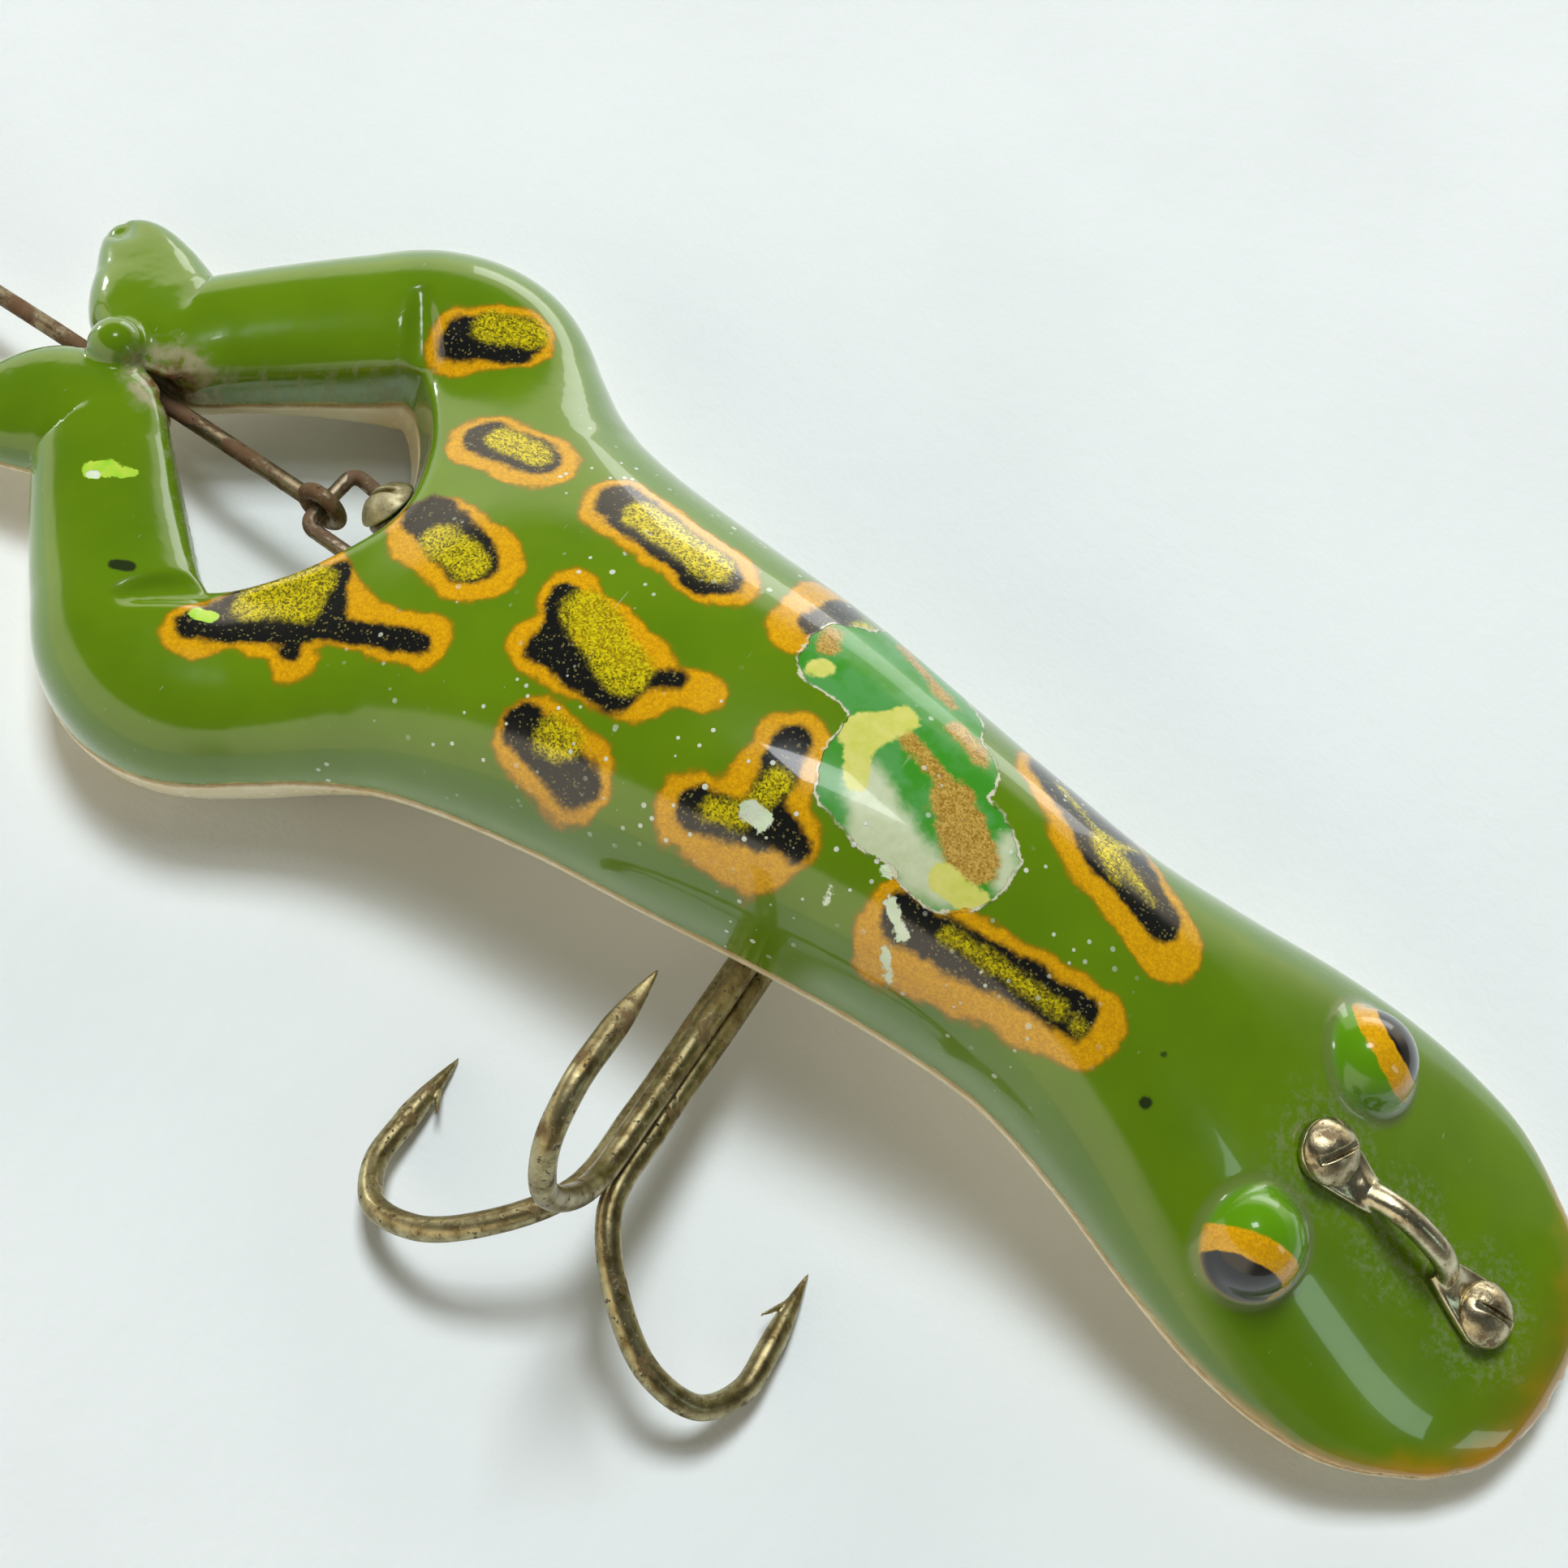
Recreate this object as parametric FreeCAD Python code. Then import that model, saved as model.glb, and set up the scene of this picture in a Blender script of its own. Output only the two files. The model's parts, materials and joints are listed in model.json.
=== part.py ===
import FreeCAD, Part
import math
import os

# A moulded plastic frog fishing lure, resting on its chin and knees.
# While it is being built x runs from the feet to the nose, y to the frog's left, z up (mm).
# The finished parts are moved so that the origin is the bottom centre of the whole lure.

V = FreeCAD.Vector

# Body stations: x, half width, height of the moulding seam, top of the back, bottom of the belly
stations = [
    (25.0, 10.0, 4.8, 9.3, 0.8),
    (29.5, 15.0, 5.0, 10.3, 1.3),
    (33.0, 16.0, 5.5, 11.7, 1.4),
    (37.5, 14.7, 6.4, 13.7, 2.1),
    (43.0, 12.9, 7.6, 15.7, 3.4),
    (50.0, 11.6, 8.8, 17.6, 4.6),
    (58.0, 10.7, 9.5, 18.9, 5.6),
    (66.0, 9.5, 9.6, 19.2, 5.85),
    (73.0, 8.7, 9.4, 18.8, 5.6),
    (79.0, 8.5, 8.9, 17.7, 4.8),
    (85.0, 9.6, 7.9, 15.8, 3.8),
    (91.0, 11.2, 6.5, 13.1, 2.4),
    (96.5, 12.2, 5.1, 10.3, 1.1),
    (101.0, 12.3, 4.1, 8.0, 0.4),
    (105.0, 11.6, 3.4, 6.1, 0.0),
    (108.3, 9.9, 2.9, 4.65, 0.0),
    (111.0, 7.8, 2.5, 3.85, 0.3),
    (112.9, 5.0, 2.2, 3.2, 0.8),
    (113.8, 2.2, 2.1, 2.7, 1.4),
]
section_power = 2.35

# Leg stations for the left leg: inner edge, outer edge (x, y), mid height, half height
leg_stations = [
    (35.0, 5.5, 37.5, 14.5, 6.2, 4.8),
    (31.0, 7.6, 32.8, 18.0, 5.4, 5.0),
    (28.0, 8.6, 27.9, 20.4, 5.1, 5.1),
    (25.6, 8.0, 23.4, 19.6, 5.0, 5.0),
    (23.2, 6.6, 19.4, 16.5, 5.0, 4.5),
    (20.0, 4.3, 15.9, 13.0, 5.1, 3.9),
    (17.0, 1.8, 13.4, 10.0, 5.2, 3.5),
    (14.2, -0.5, 11.6, 7.7, 5.2, 3.2),
    (11.3, 0.4, 9.0, 8.6, 4.9, 2.9),
    (8.6, 3.0, 7.0, 9.5, 4.5, 2.5),
    (6.4, 5.0, 5.4, 9.8, 4.2, 2.1),
    (4.9, 6.4, 4.3, 9.0, 4.0, 1.4),
    (4.1, 7.2, 3.8, 8.3, 4.0, 0.6),
]

# Height of the seam between the back and belly mouldings, from the feet to the nose
seam_line = [(0.0, 4.0), (10.0, 4.3), (24.0, 4.6), (33.0, 5.5), (43.0, 7.6), (53.0, 9.1),
             (66.0, 9.6), (79.0, 8.9), (91.0, 6.5), (101.0, 4.1), (108.0, 2.9), (120.0, 1.4)]

# Opening between rump and shins: its arch at the foot of the wall and at the rim, as the wall leans outward
arch_low_z = 1.0
crotch_arc = [(25.4, 8.8), (27.7, 6.7), (29.3, 3.6), (29.8, 0.0), (29.3, -3.6), (27.7, -6.7), (25.4, -8.8)]
arch_rim_z = 9.8
rim_arc = [(26.4, 10.2), (28.6, 8.1), (31.0, 4.4), (32.2, 0.0), (31.0, -4.4), (28.6, -8.1), (26.4, -10.2)]
opening_tail_x = 15.4
opening_tail_half = 0.9
fold_end = (23.4, 12.6)
fold_radius = 0.45

# Hollow inside the torso
wall = 1.8
hollow_from_x = 41.0
hollow_to_x = 99.0

# Raised details on the back moulding
eye_x = 94.7
eye_y = 6.3
eye_z = 10.0
eye_radius = 3.0
dome_x = 11.0
dome_z = 7.6
dome_radius = 1.75

# Line tie: a bar held by two screws, with a round wire bridge between its flat ends
tie_rear = V(95.4, 0, 10.85)
tie_front = V(107.6, 0, 4.95)
tie_wire_radius = 0.74
tie_plate = 0.6
tie_neck_half = 0.85
tie_neck_at = 4.1
tie_plate_radius = 1.85
tie_lift = 1.55

# Screws
screw_head_radius = 1.95
screw_head_height = 1.25
screw_shank_radius = 0.75
screw_length = 4.8
slot_width = 0.42
slot_depth = 0.55

# Hook hangers: bent wire, one end looped under a screw, the other end in a hole in the moulding
hanger_radius = 0.5
hanger_wire = 0.48
hanger_bend = 0.75
belly_pivot = V(63.3, 0, 3.4)
belly_screw_x = 68.9
belly_wire_end_x = 59.8
rear_pivot = V(26.6, 0, 5.5)
rear_screw = V(30.9, 1.9, 6.1)
rear_screw_tilt = 40.0

# Treble hook
treble_wire = 0.70
treble_spread = 0.83
treble_curve = [(3.0, 0.0), (12.0, 0.0), (19.6, 0.0), (25.3, 0.5), (28.5, 3.7), (30.2, 7.8),
                (29.5, 11.2), (27.2, 12.75), (23.7, 12.85)]
treble_tip = (19.2, 12.5)
treble_pitch = 10.0
treble_yaw = 4.5
third_wire_lean = 9.4
third_wire_spread = 0.89
third_wire_from = 8.0
ring_tube = 0.60
ring_hole = 0.85

# Rear hook: single, long straight shank through the hole at the feet, point upward
rear_wire = 0.55
rear_ring_tube = 0.50
rear_ring_hole = 0.75
rear_shank_drop = 3.2
rear_curve = [(2.3, 0.0), (10.0, 0.0), (20.0, 0.0), (31.0, 0.0), (34.6, 0.5), (37.6, 2.8), (38.5, 5.6),
              (37.6, 8.2), (35.2, 9.6), (32.6, 9.8)]
rear_tip = (27.2, 9.4)
passage_half_width = 0.95
passage_below = 0.72
passage_above = 2.1


def spline_wire(points, periodic=False):
    curve = Part.BSplineCurve()
    if periodic:
        curve.interpolate(points, PeriodicFlag=True)
    else:
        curve.interpolate(points)
    return Part.Wire(curve.toShape())


def torso_section(x, half, seam, top, bottom):
    points = []
    for i in range(16):
        a = 2 * math.pi * i / 16
        c = math.cos(a)
        s = math.sin(a)
        y = half * math.copysign(abs(c) ** (2 / section_power), c)
        height = top - seam if s > 0 else seam - bottom
        z = seam + height * math.copysign(abs(s) ** (2 / section_power), s)
        points.append(V(x, y, z))
    return spline_wire(points, True)


def leg_section(side, ix, iy, ox, oy, mid, half):
    centre = V((ix + ox) / 2, side * (iy + oy) / 2, mid)
    across = V((ox - ix) / 2, side * (oy - iy) / 2, 0)
    points = []
    for i in range(12):
        a = 2 * math.pi * i / 12
        points.append(centre + across * math.cos(a) + V(0, 0, half * math.sin(a)))
    return spline_wire(points, True)


def loft(wires):
    return Part.makeLoft(wires, True, False)


def frog_solid():
    solid = loft([torso_section(*s) for s in stations])
    for side in (1, -1):
        solid = solid.fuse(loft([leg_section(side, *s) for s in leg_stations]))
    return solid.cut(opening())


def opening_outline(z):
    """The opening's outline at one height."""
    t = (z - arch_low_z) / (arch_rim_z - arch_low_z)
    arch = []
    for low, rim in zip(crotch_arc, rim_arc):
        arch.append(V(low[0] + (rim[0] - low[0]) * t, low[1] + (rim[1] - low[1]) * t, z))
    curve = Part.BSplineCurve()
    curve.interpolate(arch)
    left = V(opening_tail_x, opening_tail_half, z)
    right = V(opening_tail_x, -opening_tail_half, z)
    edges = [curve.toShape()]
    edges.append(Part.makeLine(arch[-1], right))
    edges.append(Part.makeLine(right, left))
    edges.append(Part.makeLine(left, arch[0]))
    return Part.Wire(edges)


def opening():
    return Part.makeLoft([opening_outline(-1.0), opening_outline(13.0)], True, True)


def hollow():
    inner = []
    for x, half, seam, top, bottom in stations:
        if hollow_from_x < x < hollow_to_x:
            inner.append(torso_section(x, half - wall, seam, top - wall, bottom + wall))
    return loft(inner)


def folds():
    """Grooves where each calf is folded against its thigh."""
    cutters = []
    for side in (1, -1):
        a = V(crotch_arc[0][0] + 0.6, side * (crotch_arc[0][1] - 0.6), 9.3)
        b = V(fold_end[0], side * fold_end[1], 8.6)
        cutters.append(Part.makeCylinder(fold_radius, (b - a).Length, a, b - a))
        cutters.append(Part.makeSphere(fold_radius, b))
    return cutters


def below_seam():
    spline = Part.BSplineCurve()
    spline.interpolate([V(x, -40, z) for x, z in seam_line])
    first = V(seam_line[0][0], -40, seam_line[0][1])
    last = V(seam_line[-1][0], -40, seam_line[-1][1])
    low_first = V(first.x, -40, -5)
    low_last = V(last.x, -40, -5)
    edges = [spline.toShape()]
    edges.append(Part.makeLine(last, low_last))
    edges.append(Part.makeLine(low_last, low_first))
    edges.append(Part.makeLine(low_first, first))
    return Part.Face(Part.Wire(edges)).extrude(V(0, 80, 0))


def tie_direction():
    d = tie_front - tie_rear
    d.normalize()
    return d


def tie_normal():
    d = tie_direction()
    return V(-d.z, 0, d.x)


def screw(seat, outward, slot_angle):
    """Round-head wood screw: seat is the point under the head, outward points along the head."""
    z = V(0, 0, 1)
    r = screw_head_radius
    h = screw_head_height
    ball = (r * r + h * h) / (2 * h)
    head = Part.makeSphere(ball, V(0, 0, h - ball)).common(Part.makeCylinder(r, h, V(0, 0, 0), z))
    slot = Part.makeBox(3 * r, slot_width, 2, V(-1.5 * r, -slot_width / 2, h - slot_depth))
    slot.rotate(V(0, 0, 0), z, slot_angle)
    shank = Part.makeCylinder(screw_shank_radius, screw_length - 1.4, V(0, 0, 1.4 - screw_length), z)
    point = Part.makeCone(0.15, screw_shank_radius, 1.4, V(0, 0, -screw_length), z)
    shape = head.cut(slot).fuse(shank).fuse(point)
    turn = FreeCAD.Rotation(z, outward)
    shape.Placement = FreeCAD.Placement(seat, turn)
    return shape


def screw_hole(seat, outward):
    return Part.makeCylinder(screw_shank_radius, screw_length, seat - outward * screw_length, outward)


def pipe(points, radius):
    """Round wire bent along a smooth line."""
    path = spline_wire(points)
    edge = path.Edges[0]
    start = edge.valueAt(edge.FirstParameter)
    direction = edge.tangentAt(edge.FirstParameter)
    profile = Part.Wire(Part.makeCircle(radius, start, direction))
    return path.makePipeShell([profile], True, False)


def bent_wire(points, bend, radius):
    """Round wire of straight runs, with an arc of radius bend at each corner."""
    edges = []
    start = points[0]
    for before, corner, after in zip(points, points[1:], points[2:]):
        a = before - corner
        b = after - corner
        a.normalize()
        b.normalize()
        half = a.getAngle(b) / 2
        back = bend / math.tan(half)
        inward = a + b
        inward.normalize()
        middle = corner + inward * (bend / math.sin(half) - bend)
        edges.append(Part.makeLine(start, corner + a * back))
        edges.append(Part.Arc(corner + a * back, middle, corner + b * back).toShape())
        start = corner + b * back
    edges.append(Part.makeLine(start, points[-1]))
    profile = Part.Wire(Part.makeCircle(radius, points[0], points[1] - points[0]))
    return Part.Wire(edges).makePipeShell([profile], True, False)


def line_tie_bar():
    d = tie_direction()
    n = tie_normal()
    lift = n * (tie_plate / 2)
    shape = None
    for centre, sign in ((tie_rear, 1), (tie_front, -1)):
        disc = Part.makeCylinder(tie_plate_radius, tie_plate, centre, n)
        neck_at = centre + d * (tie_neck_at * sign)
        side = V(0, 1, 0)
        corners = [centre + side * tie_plate_radius, centre - side * tie_plate_radius,
                   neck_at - side * tie_neck_half, neck_at + side * tie_neck_half]
        outline = Part.makePolygon(corners + [corners[0]])
        plate = disc.fuse(Part.Face(outline).extrude(n * tie_plate))
        plate = plate.cut(Part.makeCylinder(screw_shank_radius, 4, centre - n * 2, n))
        shape = plate if shape is None else shape.fuse(plate)
    a = tie_rear + d * 3.0 + lift
    b = tie_front - d * 3.0 + lift
    rise = n * tie_lift
    line = [a, a + d * 0.9 + n * 0.15, a + d * 1.7 + rise * 0.75, a + (b - a) * 0.5 + rise,
            b - d * 1.7 + rise * 0.75, b - d * 0.9 + n * 0.15, b]
    return shape.fuse(pipe(line, tie_wire_radius))


def belly_hanger():
    x = belly_screw_x
    z = belly_surface(x) - hanger_radius
    loop = Part.makeTorus(screw_shank_radius + hanger_radius, hanger_radius, V(x, 0, z), V(0, 0, 1))
    level = belly_pivot.z
    line = [V(x - 1.25, 0, z), V(x - 2.1, 0, z), V(x - 3.9, 0, level), V(belly_wire_end_x, 0, level),
            V(belly_wire_end_x, 0, level + 6.0)]
    return loop.fuse(bent_wire(line, hanger_bend, hanger_wire))


def belly_surface(x):
    for a, b in zip(stations, stations[1:]):
        if a[0] <= x <= b[0]:
            return a[4] + (b[4] - a[4]) * (x - a[0]) / (b[0] - a[0])
    return 0.0


def rear_screw_direction():
    a = math.radians(rear_screw_tilt)
    return V(-math.cos(a), 0, math.sin(a))


def rear_hanger():
    n = rear_screw_direction()
    centre = rear_screw + n * hanger_radius
    loop = Part.makeTorus(screw_shank_radius + hanger_radius, hanger_radius, centre, n)
    p = rear_pivot
    start = centre + V(0, 1.25, 0)
    in_plane = V(-n.z, 0, n.x)
    line = [start, start + in_plane * 2.4, V(p.x, 3.0, p.z), V(p.x, -1.6, p.z), V(p.x + 7.0, -1.6, p.z)]
    return loop.fuse(bent_wire(line, hanger_bend, hanger_wire))


def hook_wire(curve, tip, offset, radius, barb):
    """One wire of a hook in the x-z plane: x along the shank away from the eye, z toward the point."""
    points = [V(s, 0, r + offset) for s, r in curve]
    wire = pipe(points, radius)
    end = points[-1]
    point = V(tip[0], 0, tip[1] + offset)
    along = point - end
    length = along.Length
    along.normalize()
    cone = Part.makeCone(radius * 0.98, 0.08, length + 0.4, end - along * 0.4, along)
    inward = V(along.z, 0, -along.x)
    if inward.z > 0:
        inward = inward * -1
    root = end + along * (length * 0.62)
    heel = end + along * (length * 0.20) + inward * (radius * barb)
    foot = end + along * (length * 0.36)
    outline = Part.makePolygon([root, heel, foot, root])
    blade = Part.Face(outline).extrude(V(0, radius * 0.7, 0))
    blade.translate(V(0, -radius * 0.35, 0))
    return wire.fuse(cone).fuse(blade)


def aim(shape, direction, up, at):
    """Turns a shape built along x (with z up) to point along direction and moves it to a place."""
    side = up.cross(direction)
    side.normalize()
    top = direction.cross(side)
    m = FreeCAD.Matrix(direction.x, side.x, top.x, at.x,
                       direction.y, side.y, top.y, at.y,
                       direction.z, side.z, top.z, at.z,
                       0, 0, 0, 1)
    placed = shape.copy()
    placed.Placement = FreeCAD.Placement(m).multiply(shape.Placement)
    return placed


def treble_direction():
    p = math.radians(treble_pitch)
    w = math.radians(treble_yaw)
    return V(math.sin(w) * math.cos(p), -math.cos(w) * math.cos(p), math.sin(p))


def turned(shape, angle):
    copy = shape.copy()
    copy.rotate(V(0, 0, 0), V(1, 0, 0), angle)
    return copy


def treble_double_wire():
    hook = hook_wire(treble_curve, treble_tip, treble_spread, treble_wire, 2.0)
    ring = Part.makeTorus(ring_hole + ring_tube, ring_tube, V(0, 0, 0), V(0, 1, 0))
    shape = ring
    for angle in (120, -120):
        start = V(1.75, 0, treble_spread * 0.62)
        lean = V(1.5, 0, treble_spread * 0.38)
        neck = Part.makeCone(ring_tube * 0.85, treble_wire * 0.97, lean.Length, start, lean)
        shape = shape.fuse(turned(neck.fuse(hook), angle))
    return aim(shape, treble_direction(), V(0, 0, 1), belly_pivot)


def treble_third_wire():
    curve = [(third_wire_from, 0.0)] + treble_curve[1:]
    hook = hook_wire(curve, treble_tip, third_wire_spread, treble_wire, 2.0)
    return aim(turned(hook, third_wire_lean), treble_direction(), V(0, 0, 1), belly_pivot)


def treble_braze():
    """Brazing that fills the middle between the three shanks."""
    rod = Part.makeCylinder(0.42, 10.0, V(third_wire_from + 0.5, 0, 0), V(1, 0, 0))
    rod = aim(rod, treble_direction(), V(0, 0, 1), belly_pivot)
    return rod.cut(treble_double_wire()).cut(treble_third_wire())


def rear_direction():
    a = math.radians(rear_shank_drop)
    return V(-math.cos(a), 0, -math.sin(a))


def rear_hook():
    hook = hook_wire(rear_curve, rear_tip, 0.0, rear_wire, 2.0)
    ring = Part.makeTorus(rear_ring_hole + rear_ring_tube, rear_ring_tube, V(0, 0, 0), V(0, 1, 0))
    neck = Part.makeCone(rear_ring_tube * 0.85, rear_wire * 0.97, 1.2, V(1.3, 0, 0), V(1, 0, 0))
    return aim(ring.fuse(neck).fuse(hook), rear_direction(), V(0, 0, 1), rear_pivot)


def passage():
    """Worn slot at the foot junction that the rear hook's shank passes through."""
    d = rear_direction()
    box = Part.makeBox(16.0, 2 * passage_half_width, passage_below + passage_above,
                       V(9.5, -passage_half_width, -passage_below))
    return aim(box, d, V(0, 0, 1), rear_pivot)


def bosses(upper):
    """Solid pillars inside the hollow that the screws and the hanger wire go into."""
    if upper:
        n = tie_normal()
        return [Part.makeCylinder(2.6, 6.5, tie_rear - n * 7.0, n)]
    pillars = []
    for x in (belly_screw_x, belly_wire_end_x):
        pillars.append(Part.makeCylinder(2.2, 6.5, V(x, 0, belly_surface(x) + 0.4), V(0, 0, 1)))
    return pillars


def mouldings():
    body = frog_solid()
    inside = hollow()
    lower = below_seam()
    n = tie_normal()
    back = body.cut(lower).cut(inside.cut(bosses(True)[0]))
    for side in (1, -1):
        back = back.fuse(Part.makeSphere(eye_radius, V(eye_x, side * eye_y, eye_z)).cut(inside).cut(lower))
    back = back.fuse(Part.makeSphere(dome_radius, V(dome_x, 0, dome_z)).cut(lower))
    for centre in (tie_rear, tie_front):
        seat = Part.makeCylinder(tie_plate_radius + 0.15, 3.0, centre, n)
        back = back.cut(seat).cut(screw_hole(centre + n * tie_plate, n))
    back = back.cut(line_tie_bar())
    for groove in folds():
        back = back.cut(groove)
    kept = inside
    for pillar in bosses(False):
        kept = kept.cut(pillar)
    belly = body.common(lower).cut(kept)
    d = V(0, 0, -1)
    belly = belly.cut(screw_hole(V(belly_screw_x, 0, belly_surface(belly_screw_x) - 2 * hanger_radius), d))
    belly = belly.cut(belly_hanger()).cut(screw_hole(tie_front + tie_normal() * tie_plate, tie_normal()))
    n = rear_screw_direction()
    cuts = [screw_hole(rear_screw + n * 2 * hanger_radius, n), rear_hanger(), passage()]
    cuts.append(Part.makeCylinder(2.1, 6.0, rear_screw, n))
    for cut in cuts:
        back = back.cut(cut)
        belly = belly.cut(cut)
    return largest(back), largest(belly)


def largest(shape):
    """The moulding itself, without the crumbs that a cutter leaves at an edge."""
    return max(shape.Solids, key=lambda solid: solid.Volume)


def all_parts():
    back, belly = mouldings()
    n = tie_normal()
    down = V(0, 0, -1)
    under = 2 * hanger_radius
    rear_n = rear_screw_direction()
    belly_seat = V(belly_screw_x, 0, belly_surface(belly_screw_x) - under)
    return {
        "back_shell": back,
        "belly_shell": belly,
        "line_tie_bar": line_tie_bar(),
        "line_tie_rear_screw": screw(tie_rear + n * tie_plate, n, 62),
        "line_tie_front_screw": screw(tie_front + n * tie_plate, n, 12),
        "belly_hanger": belly_hanger(),
        "belly_hanger_screw": screw(belly_seat, down, 35),
        "treble_double_wire": treble_double_wire(),
        "treble_third_wire": treble_third_wire(),
        "treble_braze": treble_braze(),
        "rear_hanger": rear_hanger(),
        "rear_hanger_screw": screw(rear_screw + rear_n * under, rear_n, 20),
        "rear_hook": rear_hook(),
    }


def main():
    os.makedirs("parts", exist_ok=True)
    parts = all_parts()
    box = FreeCAD.BoundBox()
    for shape in parts.values():
        box.add(shape.optimalBoundingBox(False, False))
    shift = V(-box.Center.x, -box.Center.y, -box.ZMin)
    print("moved by", shift.x, shift.y, shift.z)
    for name, shape in parts.items():
        shape.translate(shift)
        shape.exportStep("parts/" + name + ".step")


main()
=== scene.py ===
import json
import math

import bpy
import numpy as np
from mathutils import Matrix, Vector

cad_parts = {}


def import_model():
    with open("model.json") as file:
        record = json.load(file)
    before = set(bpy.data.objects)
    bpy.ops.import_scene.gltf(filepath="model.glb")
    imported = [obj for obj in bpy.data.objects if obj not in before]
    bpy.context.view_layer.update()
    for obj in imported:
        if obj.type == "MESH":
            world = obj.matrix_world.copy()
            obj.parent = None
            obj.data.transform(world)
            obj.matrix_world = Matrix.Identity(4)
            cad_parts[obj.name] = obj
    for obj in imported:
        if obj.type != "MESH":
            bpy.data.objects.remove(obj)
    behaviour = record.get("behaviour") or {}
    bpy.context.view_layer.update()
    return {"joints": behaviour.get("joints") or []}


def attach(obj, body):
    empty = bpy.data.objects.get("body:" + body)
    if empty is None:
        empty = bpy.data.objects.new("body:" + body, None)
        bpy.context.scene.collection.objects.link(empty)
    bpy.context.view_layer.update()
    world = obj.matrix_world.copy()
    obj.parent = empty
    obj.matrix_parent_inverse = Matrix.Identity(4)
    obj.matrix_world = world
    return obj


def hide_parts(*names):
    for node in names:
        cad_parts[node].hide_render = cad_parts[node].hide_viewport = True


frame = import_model()

# All shapes are worked out in millimetres, x from the feet to the nose, y to the frog's left, z up.
# SHIFT moves them to the shared frame, whose origin is the bottom centre of the whole lure.
BELLY_PIVOT = np.array([63.3, 0.0, 3.4])
REAR_PIVOT = np.array([26.6, 0.0, 5.5])
joints = {j["name"]: j for j in frame["joints"]}
SHIFT = np.array(joints["belly_hook_swing"]["pos_m"]) * 1000 - BELLY_PIVOT
COARSER = 1.0


# ---------------------------------------------------------------- curves and fields

def spline(knots, rows, at):
    """Smooth curve through rows of numbers given at rising knots, read at the places in at."""
    knots = np.asarray(knots, float)
    rows = np.asarray(rows, float).reshape(len(knots), -1)
    gap = np.diff(knots)[:, None]
    slope = np.diff(rows, axis=0) / gap
    tangent = np.empty_like(rows)
    tangent[0] = slope[0]
    tangent[-1] = slope[-1]
    tangent[1:-1] = (slope[:-1] * gap[1:] + slope[1:] * gap[:-1]) / (gap[:-1] + gap[1:])
    at = np.clip(np.asarray(at, float), knots[0], knots[-1])
    i = np.clip(np.searchsorted(knots, at) - 1, 0, len(knots) - 2)
    h = gap[i]
    t = ((at - knots[i]) / gap[i, 0])[:, None]
    a = rows[i] * (2 * t**3 - 3 * t**2 + 1) + tangent[i] * h * (t**3 - 2 * t**2 + t)
    b = rows[i + 1] * (3 * t**2 - 2 * t**3) + tangent[i + 1] * h * (t**3 - t**2)
    return a + b


def path(points, count):
    """Evenly spaced points along a smooth line through a few points."""
    points = np.asarray(points, float)
    length = np.concatenate([[0], np.cumsum(np.linalg.norm(np.diff(points, axis=0), axis=1))])
    dense = spline(length, points, np.linspace(0, length[-1], count * 8))
    run = np.concatenate([[0], np.cumsum(np.linalg.norm(np.diff(dense, axis=0), axis=1))])
    even = np.linspace(0, run[-1], count)
    return np.stack([np.interp(even, run, dense[:, k]) for k in range(dense.shape[1])], 1)


def smooth_min(a, b, k):
    h = np.clip(k - np.abs(a - b), 0, None) / k
    return np.minimum(a, b) - h * h * k * 0.25


def smooth_max(a, b, k):
    return -smooth_min(-a, -b, k)


def rounded_section(a, b, wide, tall, power):
    """Distance to a rounded oval, from the two offsets divided by its half width and half height."""
    g = np.maximum((a**power + b**power) ** (1 / power), 1e-3)
    steep = g ** (1 - power) * np.sqrt((a ** (power - 1) / wide) ** 2 + (b ** (power - 1) / tall) ** 2)
    return np.clip((g - 1) / np.maximum(steep, 1e-3), -6, 30)


def ball(x, y, z, centre, radius):
    return np.sqrt((x - centre[0]) ** 2 + (y - centre[1]) ** 2 + (z - centre[2]) ** 2) - radius


def capsule(x, y, z, a, b, ra, rb):
    """Distance to a round bar from a to b whose radius goes from ra to rb."""
    a, b = np.asarray(a, float), np.asarray(b, float)
    d = b - a
    t = ((x - a[0]) * d[0] + (y - a[1]) * d[1] + (z - a[2]) * d[2]) / (d @ d)
    t = np.clip(t, 0, 1)
    away = np.sqrt((x - a[0] - t * d[0]) ** 2 + (y - a[1] - t * d[1]) ** 2 + (z - a[2] - t * d[2]) ** 2)
    return away - (ra + (rb - ra) * t)


def strokes(x, y, marks):
    """Distance on the plan to strokes: x, y of both ends, a radius, and the far end's if it tapers."""
    best = np.full(np.broadcast(x, y).shape, 9.0)
    for x1, y1, x2, y2, radius, *rest in marks:
        growth = rest[0] - radius if rest else 0
        length_squared = max((x2 - x1) ** 2 + (y2 - y1) ** 2, 1e-9)
        t = np.clip(((x - x1) * (x2 - x1) + (y - y1) * (y2 - y1)) / length_squared, 0, 1)
        away = np.hypot(x - x1 - t * (x2 - x1), y - y1 - t * (y2 - y1)) - radius - t * growth
        best = smooth_min(best, away, 0.7)
    return best


# ---------------------------------------------------------------- the frog's body

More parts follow.
